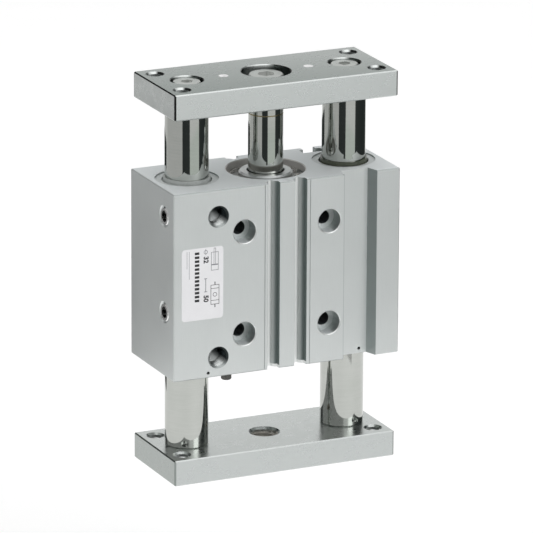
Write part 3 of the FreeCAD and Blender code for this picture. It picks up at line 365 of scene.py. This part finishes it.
def plated_steel(name, painted_edge_and_corner_hex, left_side_painted_shading_hex, front_side_painted_shading_hex, upper):
    material, tree, shader, place = blank_material(name)
    colour, rough, _, both = speckled(tree, place, (0.2, 1, 1), 0.9, 7, "C8CCCB", "D2D6D4",
                                      0.25, 0.34)
    wide, deep, _ = parts(tree, place, True)
    across, along, up = parts(tree, facing(tree))
    x, y, _ = parts(tree, place)
    metallic = 1.0
    # Painted light and shade: the left side and the front are mixed to a given colour by facing.
    colour = stain(tree, ramp(tree, across, -0.9, -0.95), colour, left_side_painted_shading_hex)
    colour = stain(tree, ramp(tree, along, -0.9, -0.95, 0.6), colour, front_side_painted_shading_hex)
    if upper:
        # Painted shade: the top face darkens towards the front left.
        slope = reckon(tree, "MULTIPLY_ADD", x, 0.25, y)
        shaded = times(tree, ramp(tree, slope, 25 * MM, -35 * MM, 0.75), ramp(tree, up, 0.9, 0.97))
        colour = stain(tree, shaded, colour, "A2ABA8")
        inside = ramp(tree, wide, 54.2 * MM, 53.8 * MM)
        bores = reckon(tree, "MAXIMUM", near_axis(tree, place, (GUIDE_X, 0, 0), 8 * MM, 8.2 * MM),
                       near_axis(tree, place, (0, 0, 0), 12 * MM, 12.2 * MM))
        # Painted shade on the hole walls, by which way they face.
        left_wall_shade = times(tree, inside, ramp(tree, across, 0.4, 0.7))
        right_wall_shade = times(tree, bores, ramp(tree, across, -0.4, -0.7))
        colour = stain(tree, left_wall_shade, colour, "4A514E")
        colour = stain(tree, right_wall_shade, colour, "5E6663")
        # Painted highlight: the pin holes are white and not metal.
        pin_hole_highlight = near_axis(tree, place, (PIN_X, 0, 0), 2.1 * MM, 2.3 * MM)
        colour = stain(tree, pin_hole_highlight, colour, "FFFFFF")
        metallic = ramp(tree, pin_hole_highlight, 1.0, 0.0)
    # Painted dark reflection on the chamfer between the left side and the top.
    painted_left_chamfer_reflection = times(tree, ramp(tree, across, -0.3, -0.5), ramp(tree, up, 0.3, 0.5))
    colour = stain(tree, painted_left_chamfer_reflection, colour, painted_edge_and_corner_hex)
    reach = reckon(tree, "ADD", wide, deep)
    corner = ramp(tree, reach, CORNER_SUM - 0.9 * MM, CORNER_SUM - 0.6 * MM)
    colour = stain(tree, corner, colour, painted_edge_and_corner_hex)
    surface(tree, shader, colour, rough, metallic, both, 0.06, 0.01)
    return material


top_plate_finish = plated_steel("ground_plated_steel_top", "1A1C1B", "CDD1CF", "CDD1D0", True)
foot_plate_finish = plated_steel("ground_plated_steel_foot", "8A908D", "A4A9A6", "AEB2B1", False)
print("made", top_plate_finish.name, foot_plate_finish.name)

# %% [markdown]
# The rods: hard chrome
#
# Guide rods and piston rod are hardened steel, ground, chrome plated and polished. They act as
# curved mirrors that squeeze the whole studio into upright bands. Polishing leaves hair lines
# round the rod, so the noise is drawn out sideways and only touches the gloss. The piston rod
# has one fine turned line below its top, 0.4 to 0.7 mm wide.

# %% Hard chrome
def hard_chrome(name, line=None):
    material, tree, shader, place = blank_material(name)
    colour, rough, small, _ = speckled(tree, place, (0.04, 0.04, 1), 0.5, 12, "B2B5B0", "BABCB8",
                                       0.04, 0.07)
    if line:
        z = parts(tree, place)[2]
        band = times(tree, ramp(tree, z, line - 0.35 * MM, line - 0.2 * MM),
                     ramp(tree, z, line + 0.35 * MM, line + 0.2 * MM))
        colour = stain(tree, band, colour, "8F8465")
        rough = turn_rough(tree, band, rough, 0.35)
    surface(tree, shader, colour, rough, 1.0, small, 0.02, 0.004)
    return material


rod_finish = hard_chrome("hard_chrome_polished")
LINE_HEIGHT = 163.8 * MM
rod_line_finish = hard_chrome("hard_chrome_with_turned_line", LINE_HEIGHT)
print("made", rod_finish.name, rod_line_finish.name)

# %% [markdown]
# Turned pieces: covers, piston, screw heads
#
# Anything cut on a lathe keeps the fine spiral of the tool. Seen from the end it is a set of
# rings, and it makes the light fan out from the middle. A wave texture draws rings round Z, and
# the feed of 0.15 mm is drawn as 0.5 mm so that it shows. Screws that stand off the middle have
# their rings centred by taking the size of x and subtracting the place of their axis.

# %% Turned metal
def turned_metal(name, dark, light, low, high, ring_mm, offset=0.0):
    material, tree, shader, place = blank_material(name)
    colour, rough, _, _ = speckled(tree, place, (1, 1, 1), 0.6, 6, dark, light, low, high)
    sized = add(tree, "ShaderNodeVectorMath", {"operation": "ABSOLUTE"}, {0: place})
    centred = add(tree, "ShaderNodeVectorMath", {"operation": "SUBTRACT"},
                  {0: sized.outputs["Vector"], 1: (offset, 0, 0)})
    rings = add(tree, "ShaderNodeTexWave", {"wave_type": "RINGS", "rings_direction": "Z"},
                {"Vector": centred.outputs["Vector"], "Scale": 2 * math.pi / (20 * ring_mm * MM)})
    surface(tree, shader, colour, rough, 1.0, rings.outputs["Fac"], 0.1, 0.01)
    return material


cover_finish = turned_metal("turned_aluminium", "C9CBCB", "D8DADA", 0.34, 0.42, 0.6)
middle_screw_finish = turned_metal("bright_plated_steel_middle", "D2D4D2", "ECEDEB",
                                   0.3, 0.42, 0.5)
guide_screw_finish = turned_metal("bright_plated_steel_sides", "D2D4D2", "ECEDEB", 0.26, 0.38, 0.5,
                                  GUIDE_X)
bush_finish = turned_metal("sintered_bronze", "8C6F45", "B39160", 0.35, 0.5, 0.4, GUIDE_X)
print("guide rods at x", round(GUIDE_X / MM, 2), "mm")

# %% [markdown]
# Spring steel and threads
#
# Retaining rings are stamped spring steel with a thin phosphate skin, a warm grey with some
# shine. Cut threads in the plates are painted brighter than the plate where they face left and
# darker where they face right, as painted light and shade, and the large one keeps a film of oil
# in its roots. Walls that face away from the lamps, and the plugs' hex sockets, are mixed darker
# by place as painted shade.

# %% Phosphated and oiled steel
def dull_steel(name, dark, light, low, high, metallic, shade=None, sockets=False, painted_thread_light=False):
    """Steel for small pieces. Painted shade: shade darkens the front ports, sockets the plugs' hex
    sockets. Painted light and shade: lit makes threads white facing left and dark facing right.
    """
    material, tree, shader, place = blank_material(name)
    colour, rough, _, both = speckled(tree, place, (1, 1, 1), 0.3, 2.5, dark, light, low, high)
    if shade:
        for height in PORT_HEIGHTS:
            colour = stain(tree, port_shade(tree, place, height), colour, shade)
    if painted_thread_light:
        # Painted light and shade: threads are white where they face left and dark where they face
        # right.
        left = ramp(tree, parts(tree, facing(tree))[0], 0.1, -0.3)
        colour = blend(tree, left, linear("6C716F"), linear("FBFCFC"))
    if sockets:
        # Painted shade: the plugs' hex sockets are dark.
        for height in SIDE_PORT_HEIGHTS:
            socket_shade = near_axis(tree, place, (0, SIDE_PORT_Y, height), 2.5 * MM, 2.6 * MM, ALONG_X)
            colour = stain(tree, socket_shade, colour, "1E2223")
    surface(tree, shader, colour, rough, metallic, both, 0.3, 0.015)
    return material


ring_finish = dull_steel("phosphated_spring_steel", "C8C6C1", "E4E2DE", 0.2, 0.32, 0.6)
stub_finish = dull_steel("blackened_steel_plug", "4C4D4A", "6A6A66", 0.35, 0.5, 1.0)
wiper_ring_finish = dull_steel("pressed_steel_rings", "C9CDCD", "DDE0E0", 0.45, 0.6, 0.6)
plate_thread_painted_light_finish = dull_steel("cut_steel_thread_painted_light", "B5B6B2", "DADAD6", 0.25, 0.4, 0.5,
                                 painted_thread_light=True)
oiled_thread_finish = dull_steel("oiled_steel_thread", "87847D", "B9B5AD", 0.3, 0.45, 0.5)
block_thread_finish = dull_steel("cut_aluminium_thread", "BEC2C1", "DCE0DF", 0.2, 0.35, 1.0,
                                 shade="23292A")
plug_finish = dull_steel("plated_steel_plugs", "DCDDDD", "EFEFEE", 0.15, 0.28, 1.0, sockets=True)
print("dull and cut metals made")

# %% [markdown]
# Rubber and plastic
#
# Seals and O-rings are moulded nitrile, near black with a soft sheen. The rod wipers are a
# harder rubber of dark olive, and one of them is painted pale grey as a painted reflection.
# Rubber isn't a metal: its colour comes from inside, and the highlight stays weak. Dust and oil
# vary its gloss.

# %% Rubber, magnet and wear strip
def moulded(name, dark, light, low, high, ior):
    material, tree, shader, place = blank_material(name)
    colour, rough, small, _ = speckled(tree, place, (1, 1, 1), 0.4, 4, dark, light, low, high)
    shader.inputs["IOR"].default_value = ior
    surface(tree, shader, colour, rough, 0.0, small, 0.3, 0.02)
    return material


seal_finish = moulded("nitrile_rubber_black", "161616", "222221", 0.45, 0.6, 1.52)
wiper_finish = moulded("wiper_rubber_olive", "43483E", "5C6152", 0.16, 0.26, 1.5)
# Painted reflection: one wiper is pale grey where the others are olive.
painted_reflection_wiper_finish = moulded("wiper_rubber_painted_reflection", "A0A4A2", "B6BAB8", 0.3, 0.45, 1.5)
magnet_finish = moulded("magnet_rubber", "2A2522", "3A3430", 0.5, 0.65, 1.52)
wear_finish = moulded("wear_strip_resin", "C9C2AC", "DAD3BF", 0.4, 0.5, 1.5)
print("rubber and plastic made")

# %% [markdown]
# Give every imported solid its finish
#
# Which solid takes which finish is one table, read from left to right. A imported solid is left
# where it is. Its own slots take the new material, so nothing of its shape changes.

# %% Dress the solids
finishes = {
    block_finish: ["cylinder_body"],
    top_plate_finish: ["top_plate"],
    foot_plate_finish: ["bottom_plate"],
    rod_finish: ["left_guide_rod", "right_guide_rod"],
    rod_line_finish: ["piston_rod"],
    cover_finish: ["rod_cover", "head_cover", "piston"],
    ring_finish: ["rod_cover_retaining_ring", "head_cover_retaining_ring"],
    stub_finish: ["air_passage_plug"],
    middle_screw_finish: ["piston_rod_screw", "piston_screw"],
    guide_screw_finish: ["top_plate_screws", "bottom_plate_screws"],
    plug_finish: ["side_port_plugs"],
    seal_finish: ["rod_seal", "rod_cover_o_ring", "head_cover_o_ring", "rod_side_bumper",
                  "head_side_bumper", "piston_seal"],
    magnet_finish: ["piston_magnet"],
    wear_finish: ["piston_wear_ring"],
    bush_finish: ["rod_bush"] + [n for n in nodes if n.endswith("guide_bush")],
    painted_reflection_wiper_finish: ["left_upper_guide_wiper"],
    wiper_finish: ["left_lower_guide_wiper", "right_upper_guide_wiper",
                   "right_lower_guide_wiper"],
    wiper_ring_finish: [n for n in nodes if n.endswith("wiper_ring")],
}
dressed = set()
for finish, names in finishes.items():
    for name in names:
        mesh = nodes[name].data
        if not mesh.materials:
            mesh.materials.append(finish)
        for slot in nodes[name].material_slots:
            slot.material = finish
        dressed.add(name)
print("dressed", len(dressed), "of", len(nodes), "left over", sorted(set(nodes) - dressed))

# %% [markdown]
# Tools for new pieces
#
# The operators work on whatever is selected, so each piece starts with nothing selected. A
# finished piece has its place in its mesh and its object at the origin, as the solids have.

# %% Helpers for new pieces
def nothing_selected():
    if bpy.context.object and bpy.context.object.mode == "EDIT":
        bpy.ops.object.mode_set(mode="OBJECT")
    bpy.ops.object.select_all(action="DESELECT")


def settle(piece):
    """Put turn, scale and place of the only selected piece into its mesh."""
    nothing_selected()
    piece.select_set(True)
    bpy.context.view_layer.objects.active = piece
    bpy.ops.object.transform_apply(location=True, rotation=True, scale=True)


def pick(piece, mode, test):
    """In edit mode, select the vertices whose place passes the test."""
    bpy.ops.object.mode_set(mode="EDIT")
    bpy.ops.mesh.select_mode(type=mode)
    bpy.ops.mesh.select_all(action="DESELECT")
    bpy.ops.object.mode_set(mode="OBJECT")
    for vertex in piece.data.vertices:
        vertex.select = test(vertex.co)
    bpy.ops.object.mode_set(mode="EDIT")


def finish_piece(piece, name, finish, body, smooth=30):
    """Name, shade and colour a piece, and let it ride."""
    settle(piece)
    piece.name = name
    bpy.ops.object.shade_smooth_by_angle(angle=math.radians(smooth))
    piece.data.materials.clear()
    piece.data.materials.append(finish)
    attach(piece, body)


print("helpers for pieces ready")

# %% [markdown]
# Threads
#
# A tapped hole is a plain wall in the solids. What the eye sees in it is a spiral of bright
# crests and dark roots. A triangle stood at the wall is wound round the hole's axis by a Screw
# modifier, one turn per pitch, then its ends are closed. Each size is wound once and copied.
# Depth and width are shares of the pitch, and the ridge's foot is seated 0.03 mm in the wall.

# %% Wind a thread
THREAD_DEPTH = 0.5
THREAD_WIDTH = 0.92
THREAD_SEAT = 0.03 * MM
THREAD_STEPS = 28


def wind_thread(radius, pitch, turns):
    """A spiral ridge round Z that starts at z = 0, its crest towards the axis."""
    nothing_selected()
    depth = THREAD_DEPTH * pitch
    bpy.ops.mesh.primitive_circle_add(vertices=3, radius=1.0,
                                      rotation=(math.pi / 2, -math.pi / 2, 0))
    ridge = bpy.context.object
    settle(ridge)
    low = min(v.co.x for v in ridge.data.vertices)
    high = max(v.co.x for v in ridge.data.vertices)
    if sum(v.co.x > 0 for v in ridge.data.vertices) == 1:
        bpy.ops.transform.mirror(constraint_axis=(True, False, False))
        low, high = -high, -low
    width = max(v.co.z for v in ridge.data.vertices) * 2
    ridge.scale = (depth / (high - low), 1, THREAD_WIDTH * pitch / width)
    ridge.location.x = radius + THREAD_SEAT - high * ridge.scale.x
    settle(ridge)
    screw = ridge.modifiers.new("turns", "SCREW")
    screw.angle, screw.screw_offset, screw.iterations = 2 * math.pi, pitch, turns
    screw.steps = screw.render_steps = THREAD_STEPS
    bpy.ops.object.modifier_apply(modifier=screw.name)
    bpy.ops.object.mode_set(mode="EDIT")
    bpy.ops.mesh.select_all(action="SELECT")
    bpy.ops.mesh.remove_doubles(threshold=0.001 * MM)
    bpy.ops.mesh.fill_holes(sides=3)
    bpy.ops.mesh.normals_make_consistent(inside=False)
    nothing_selected()
    return ridge


def put_thread(model, name, place, turn, finish, body):
    """A copy of a wound thread at its hole."""
    nothing_selected()
    model.select_set(True)
    bpy.context.view_layer.objects.active = model
    bpy.ops.object.duplicate()
    copy = bpy.context.object
    copy.rotation_euler = turn
    copy.location = place
    finish_piece(copy, name, finish, body)


def drop(model):
    """Delete a piece that was only copied."""
    nothing_selected()
    model.select_set(True)
    bpy.ops.object.delete()


M8_HOLE = 3.4 * MM
M8_PITCH = 1.25 * MM
m8_plate = wind_thread(M8_HOLE, M8_PITCH, 7)
print("thread of", len(m8_plate.data.polygons), "faces")

# %% Threads of the plates' corner holes
top_low, top_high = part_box("top_plate")
foot_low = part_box("bottom_plate")[0]
CORNERS = [(column, row, x, y) for column, x in (("left", -48 * MM), ("right", 48 * MM))
           for row, y in (("front", -15 * MM), ("back", 15 * MM))]
for column, row, x, y in CORNERS:
    for plate, low in (("top_plate", top_low.z), ("bottom_plate", foot_low.z)):
        put_thread(m8_plate, f"{plate}_{column}_{row}_thread", (x, y, low + 1.6 * MM), (0, 0, 0),
                   plate_thread_painted_light_finish, "carriage")
drop(m8_plate)
m14 = wind_thread(6.25 * MM, 1.5 * MM, 6)
put_thread(m14, "bottom_plate_middle_thread", (0, 0, foot_low.z + 1.5 * MM), (0, 0, 0),
           oiled_thread_finish, "carriage")
drop(m14)
print("threads in", len(CORNERS) * 2 + 1, "holes of the plates")

# %% Threads of the ports and of the mounting holes' back ends
FRONT_TURN = (math.pi / 2, 0, 0)
BACK_TURN = (-math.pi / 2, 0, 0)
ROWS = ("upper", "lower")
g18 = wind_thread(4.3 * MM, 0.907 * MM, 7)
for row, z in zip(ROWS, PORT_HEIGHTS):
    put_thread(g18, f"{row}_port_thread", (PORT_X, FRONT + 7.7 * MM, z), FRONT_TURN,
               block_thread_finish, "housing")
drop(g18)
m8_block = wind_thread(M8_HOLE, M8_PITCH, 10)
for column, x in (("left", -MOUNT_X), ("right", MOUNT_X)):
    for row, z in zip(ROWS, MOUNT_HEIGHTS):
        put_thread(m8_block, f"{row}_{column}_mounting_thread", (x, block_high.y - 14.8 * MM, z),
                   BACK_TURN, block_thread_finish, "housing")
drop(m8_block)
print("threads in 2 ports and 4 mounting holes")

# %% [markdown]
# Knurled screw heads
#
# The sides of a cap screw's head are rolled with fine upright teeth for grip. A tube is made
# with two corners to a tooth, every second corner is pushed outwards, and flat rims close it.
# A band starts 0.8 or 0.9 mm below the top of its head and ends 0.4 mm above the underside.

# %% Knurled bands
TOOTH_WIDTH = 0.8 * MM
TOOTH_HEIGHT = 0.16 * MM
RIM_SHARE = 0.95


def knurled_band(name, radius, low, high, x, finish):
    """A toothed tube round an upright axis at x. Gives the number of its teeth."""
    nothing_selected()
    teeth = round(2 * math.pi * radius / TOOTH_WIDTH)
    bpy.ops.mesh.primitive_cylinder_add(vertices=teeth * 2, radius=radius, depth=high - low,
                                        end_fill_type="NOTHING")
    band = bpy.context.object
    step = math.pi / teeth
    pick(band, "VERT", lambda co: round(math.atan2(co.y, co.x) / step) % 2 == 1)
    grow = (radius + TOOTH_HEIGHT) / radius
    bpy.ops.transform.resize(value=(grow, grow, 1), center_override=(0, 0, 0))
    for side in (-1, 1):
        pick(band, "VERT", lambda co: co.z * side > (high - low) * 0.49)
        bpy.ops.mesh.extrude_region_move()
        bpy.ops.transform.resize(value=(RIM_SHARE, RIM_SHARE, 1), center_override=(0, 0, 0))
    pick(band, "VERT", lambda co: math.hypot(co.x, co.y) < radius * 0.99)
    bpy.ops.mesh.select_mode(type="EDGE")
    bpy.ops.mesh.bridge_edge_loops()
    bpy.ops.mesh.select_all(action="SELECT")
    bpy.ops.mesh.normals_make_consistent(inside=False)
    nothing_selected()
    band.location = (x, 0, (low + high) / 2)
    finish_piece(band, name, finish, "carriage", smooth=20)
    return teeth


GUIDE_HEAD = 6.5 * MM
ROD_HEAD = 8.0 * MM
KNURL_NEAR = 1.4 * MM
KNURL_FAR = 5.2 * MM
top_face = top_high.z
for column, way in (("left", -1), ("right", 1)):
    knurled_band(f"top_screw_{column}_knurl", GUIDE_HEAD, top_face - KNURL_FAR, top_face - KNURL_NEAR,
                 GUIDE_X * way, guide_screw_finish)
    knurled_band(f"bottom_screw_{column}_knurl", GUIDE_HEAD, foot_low.z + KNURL_NEAR,
                 foot_low.z + KNURL_FAR, GUIDE_X * way, guide_screw_finish)
teeth = knurled_band("piston_rod_screw_knurl", ROD_HEAD, top_face - 6.9 * MM, top_face - 2.2 * MM,
                     0, middle_screw_finish)
print("knurl of the middle screw has", teeth, "teeth")

# %% [markdown]
# The label
#
# A white film label is stuck on the front. It is drawn flat, as at a desk: x is along the
# block, y is up, and the printing lies on top. The whole is then stood up against the block.
# The printing is plain: a bore mark and 32, a travel mark and 50, a row of blocks, two rules
# and two line drawings. The film is 0.08 mm thick, and the ink stands 0.02 mm on it.

# %% Label film and inks
def label_film():
    material, tree, shader, place = blank_material("white_label_film")
    colour, rough, _, both = speckled(tree, place, (1, 1, 1), 0.5, 7, "E3E3E5", "E8E8EA",
                                      0.28, 0.36)
    shader.inputs["IOR"].default_value = 1.49
    surface(tree, shader, colour, rough, 0.0, both, 0.1, 0.02)
    return material


film_finish = label_film()
black_ink = moulded("black_ink", "1C1C1E", "2A2A2C", 0.4, 0.5, 1.5)
grey_ink = moulded("grey_ink", "77797D", "8A8C90", 0.4, 0.5, 1.5)
LABEL_LOW = Vector((-52.1 * MM, 77.8 * MM))
LABEL_SIZE = Vector((20.4 * MM, 33.6 * MM))
FILM_THICKNESS = 0.08 * MM
INK_RISE = 0.085 * MM
INK_THICKNESS = 0.02 * MM
print("label of", [round(v / MM, 1) for v in LABEL_SIZE], "mm")

# %% The film
def stand_up(piece, rise):
    """Turn a flat drawing upright and set it on the front face."""
    settle(piece)
    piece.rotation_euler = (math.pi / 2, 0, 0)
    piece.location = (0, FRONT - rise, 0)
    settle(piece)


def thicken(piece, height):
    """Draw a flat piece up into a thin plate."""
    nothing_selected()
    piece.select_set(True)
    bpy.context.view_layer.objects.active = piece
    bpy.ops.object.mode_set(mode="EDIT")
    bpy.ops.mesh.select_all(action="SELECT")
    bpy.ops.mesh.extrude_region_move(TRANSFORM_OT_translate={"value": (0, 0, height)})
    bpy.ops.mesh.select_all(action="SELECT")
    bpy.ops.mesh.normals_make_consistent(inside=False)
    nothing_selected()


nothing_selected()
bpy.ops.mesh.primitive_plane_add(size=1.0)
film = bpy.context.object
film.scale = (LABEL_SIZE.x, LABEL_SIZE.y, 1)
film.location = (LABEL_LOW.x + LABEL_SIZE.x / 2, LABEL_LOW.y + LABEL_SIZE.y / 2, 0)
settle(film)
bpy.ops.object.mode_set(mode="EDIT")
bpy.ops.mesh.select_all(action="SELECT")
bpy.ops.mesh.bevel(affect="VERTICES", offset=1.5 * MM, segments=6)
thicken(film, FILM_THICKNESS)
stand_up(film, 0)
finish_piece(film, "label_film", film_finish, "housing")
print("film has", len(film.data.polygons), "faces")

# %% Line drawings of the label
def strokes(name, bars, finish, rings=()):
    """Bars given as x, y, width and height in mm from the label's corner, joined to one piece."""
    nothing_selected()
    pieces = []
    for x, y, width, height in bars:
        bpy.ops.mesh.primitive_plane_add(size=1.0)
        bar = bpy.context.object
        bar.scale = (width * MM, height * MM, 1)
        bar.location = (LABEL_LOW.x + (x + width / 2) * MM, LABEL_LOW.y + (y + height / 2) * MM, 0)
        settle(bar)
        pieces.append(bar)
    for x, y, radius, line in rings:
        nothing_selected()
        bpy.ops.mesh.primitive_circle_add(vertices=40, radius=radius * MM)
        ring = bpy.context.object
        bpy.ops.object.mode_set(mode="EDIT")
        bpy.ops.mesh.select_all(action="SELECT")
        bpy.ops.mesh.extrude_region_move()
        share = 1 - line / radius
        bpy.ops.transform.resize(value=(share, share, 1), center_override=(0, 0, 0))
        nothing_selected()
        ring.location = (LABEL_LOW.x + x * MM, LABEL_LOW.y + y * MM, 0)
        settle(ring)
        pieces.append(ring)
    nothing_selected()
    for piece in pieces:
        piece.select_set(True)
    bpy.context.view_layer.objects.active = pieces[0]
    bpy.ops.object.join()
    drawing = bpy.context.object
    thicken(drawing, INK_THICKNESS)
    stand_up(drawing, INK_RISE)
    finish_piece(drawing, name, finish, "housing")


def box_lines(x, y, width, height, line):
    """The four bars of a rectangle."""
    return [(x, y, width, line), (x, y + height - line, width, line),
            (x, y, line, height), (x + width - line, y, line, height)]


section = box_lines(14.4, 22.6, 3.6, 8.6, 0.22)
section += [(14.4, 25.0, 3.6, 0.5), (15.7, 25.0, 0.2, 8.0), (16.5, 25.0, 0.2, 8.0),
            (15.7, 32.8, 1.0, 0.2)]
outline = box_lines(14.2, 6.6, 4.2, 9.2, 0.22)
outline += [(14.2, 8.4, 4.2, 0.2), (14.2, 14.0, 4.2, 0.2), (16.1, 5.2, 0.4, 1.4),
            (16.1, 15.8, 0.4, 1.4)]
strokes("label_section", section, grey_ink)
strokes("label_outline", outline, black_ink, [(16.3, 11.2, 1.0, 0.2)])
blocks = [(6.4, 8.6 + 1.84 * i, 2.2, 1.15) for i in range(13)]
strokes("label_blocks", blocks, black_ink)
travel_mark = [(11.6, 12.8, 0.3, 6.4), (11.0, 12.8, 1.5, 0.3), (11.0, 18.9, 1.5, 0.3)]
bore_mark = [(11.65, 30.1, 0.2, 2.9)]
strokes("label_marks", travel_mark + bore_mark, grey_ink, [(11.75, 31.5, 0.95, 0.25)])
rules = [(3.6, 19.6, 0.18, 13.0), (2.5, 24.6, 0.18, 8.0)]
strokes("label_rules", rules, grey_ink)
print("line drawings done")

# %% The numbers of the label
NUMBER_SIZE = 3.2 * MM
NUMBER_X = 11.8 * MM
NUMBER_WEIGHT = 0.035
NUMBER_DEPTH = 0.012 * MM


def number(name, text, y):
    """A number that reads downwards, its middle y mm above the label's corner."""
    nothing_selected()
    bpy.ops.object.text_add(rotation=(0, 0, -math.pi / 2))
    word = bpy.context.object
    word.data.body = text
    word.data.size = NUMBER_SIZE
    word.data.align_x = "CENTER"
    word.data.align_y = "CENTER"
    word.data.offset = NUMBER_WEIGHT * NUMBER_SIZE
    word.data.extrude = NUMBER_DEPTH
    word.location = (LABEL_LOW.x + NUMBER_X, LABEL_LOW.y + y * MM, NUMBER_DEPTH)
    bpy.ops.object.convert(target="MESH")
    stand_up(word, INK_RISE)
    finish_piece(word, name, black_ink, "housing")


number("label_number_32", "32", 27.9)
number("label_number_50", "50", 9.7)
print("numbers done")

# %% [markdown]
# The floor and the light
#
# The cylinder hangs over a white sheet that runs into a white wall. The foot plate travels
# 23.5 mm down, so the sheet lies well below it. For the camera and for mirrors the sheet is
# lifted to white by a little light of its own, and the shadow stays. The lamps are large and
# soft, at a level at which a colour shows about as it is written.

# %% Floor and world
def glow_switch(tree):
    """1 for camera, mirror and glass rays, 0 for the rays that light the object."""
    path = add(tree, "ShaderNodeLightPath")
    seen = reckon(tree, "MAXIMUM", path.outputs["Is Camera Ray"], path.outputs["Is Glossy Ray"])
    return reckon(tree, "MAXIMUM", seen, path.outputs["Is Transmission Ray"])


FLOOR_HEIGHT = -70 * MM
FLOOR_GLOW = 0.23
WORLD_LIGHT = 0.75
nothing_selected()
bpy.ops.mesh.primitive_plane_add(size=8.0, location=(0, 0, FLOOR_HEIGHT))
floor = bpy.context.object
floor.name = "floor"
white_sheet, tree, shader, _ = blank_material("white_paper_sheet")
feed(tree, shader, {"Base Color": linear("EFEFEF"), "Roughness": 0.9,
                    "Emission Color": (1, 1, 1, 1),
                    "Emission Strength": times(tree, glow_switch(tree), FLOOR_GLOW)})
floor.data.materials.append(white_sheet)

world = bpy.data.worlds.new("white_studio")
world.use_nodes = True
bpy.context.scene.world = world
tree = world.node_tree
tree.nodes.clear()
level = add(tree, "ShaderNodeMapRange", None,
            {"Value": glow_switch(tree), "To Min": WORLD_LIGHT, "To Max": 1.0})
sky = add(tree, "ShaderNodeBackground", None,
          {"Color": (1, 1, 1, 1), "Strength": level.outputs["Result"]})
add(tree, "ShaderNodeOutputWorld", None, {"Surface": sky.outputs["Background"]})
print("floor glow", FLOOR_GLOW, "world light", WORLD_LIGHT)

# %% [markdown]
# Soft lamps and dark cards
#
# Chrome shows only what stands round it. In a white room it would vanish, so a photographer
# puts grey and dark cards round it. These are seen by mirror rays only. Each is a curved strip
# between two angles, counted from the camera's side to the right as seen from the object.
# Upright mirrors look down at the cards that lie flat, the lower rods nearer than the upper.

# %% Lamps
def soft_lamp(name, place, size, power):
    """A lamp that looks at the cylinder. Places and sizes are in metres, the power in watts."""
    nothing_selected()
    bpy.ops.object.light_add(type="AREA", location=place)
    lamp = bpy.context.object
    lamp.name = name
    lamp.data.shape = "RECTANGLE"
    lamp.data.size, lamp.data.size_y = size
    lamp.data.energy = power
    lamp.rotation_euler = (LOOK_AT - Vector(place)).to_track_quat("-Z", "Y").to_euler()


soft_lamp("lamp_front_right", (0.9, -1.5, 1.1), (1.2, 1.2), 9)
soft_lamp("lamp_above", (0.0, 0.1, 1.8), (1.6, 1.6), 5)
soft_lamp("lamp_left", (-1.6, -0.4, 0.9), (0.8, 1.2), 2)
print("three soft lamps")

# %% Cards that only mirrors see
STEP_DEGREES = 5


def card(name, first, last, line, grey, tint=(1, 1, 1)):
    """A strip from one angle to another. Its line is points of reach and height in metres."""
    nothing_selected()
    bpy.ops.mesh.primitive_plane_add(size=1.0)
    strip = bpy.context.object
    strip.name = name
    pick(strip, "VERT", lambda co: co.x > 0)
    bpy.ops.mesh.delete(type="VERT")
    nothing_selected()
    turn = AZIMUTH - math.pi / 2 + math.radians(first)
    for vertex, (reach, height) in zip(strip.data.vertices, line):
        vertex.co = (math.cos(turn) * reach, math.sin(turn) * reach, height)
    strip.select_set(True)
    bpy.context.view_layer.objects.active = strip
    bpy.ops.object.mode_set(mode="EDIT")
    bpy.ops.mesh.select_all(action="SELECT")
    steps = max(4, round((last - first) / STEP_DEGREES))
    bpy.ops.mesh.spin(steps=steps, angle=-math.radians(last - first), center=(0, 0, 0),
                      axis=(0, 0, 1))
    nothing_selected()
    paper, tree, shader, _ = blank_material(name + "_paper")
    feed(tree, shader, {"Base Color": (0, 0, 0, 1), "Roughness": 1.0,
                        "Emission Color": (*tint, 1), "Emission Strength": grey})
    strip.data.materials.append(paper)
    strip.visible_camera = False
    strip.visible_diffuse = False
    strip.visible_transmission = False
    strip.visible_shadow = False


LOW = 0.5 * MM
GREEN = (0.93, 1.0, 0.95)
DARK = (0.7, 1.0, 1.0)
card("card_camera_floor", -24, 13, [(0.2, LOW), (0.9, LOW)], 0.02, DARK)
card("card_camera_wall", -24, 13, [(0.9, LOW), (0.9, 0.7)], 0.4)
card("card_front_right_near", 13, 64, [(0.16, LOW), (0.45, LOW)], 0.6)
card("card_front_right_middle", 13, 64, [(0.45, LOW), (0.57, LOW)], 0.72, GREEN)
card("card_front_right_far", 13, 64, [(0.57, LOW), (0.9, LOW)], 0.78)
card("card_right_floor", 64, 150, [(0.22, LOW), (0.9, LOW)], 0.02, DARK)
card("card_right_wall", 64, 150, [(0.9, LOW), (0.9, 1.0)], 0.02, DARK)
card("card_left_floor", -121, -24, [(0.22, LOW), (0.9, LOW)], 0.62)
card("card_left_wall", -118, -24, [(0.9, 0.03), (0.9, 1.0)], 0.4)
card("card_left_back_near", -150, -112, [(0.14, 2 * LOW), (0.48, 2 * LOW)], 0.16)
card("card_left_back_middle", -178, -124, [(0.48, LOW), (0.575, LOW)], 0.02, DARK)
card("card_left_back_far", -150, -115, [(0.575, 2 * LOW), (0.9, 2 * LOW)], 0.75)
card("card_left_back_wall", -145, -118, [(0.9, LOW), (0.9, 0.75)], 0.02, DARK)
card("card_back_wall", 150, 215, [(0.9, 0.42), (0.9, 1.0)], 0.33, GREEN)
print("fourteen cards")

# %% [markdown]
# Finish
#
# The view is set to the Standard transform. The dressed model reaches about 0.1 mm past the box
# of the imported solids, the thickness of the label film and its ink.

# %% Finish
bpy.context.scene.view_settings.view_transform = "Standard"
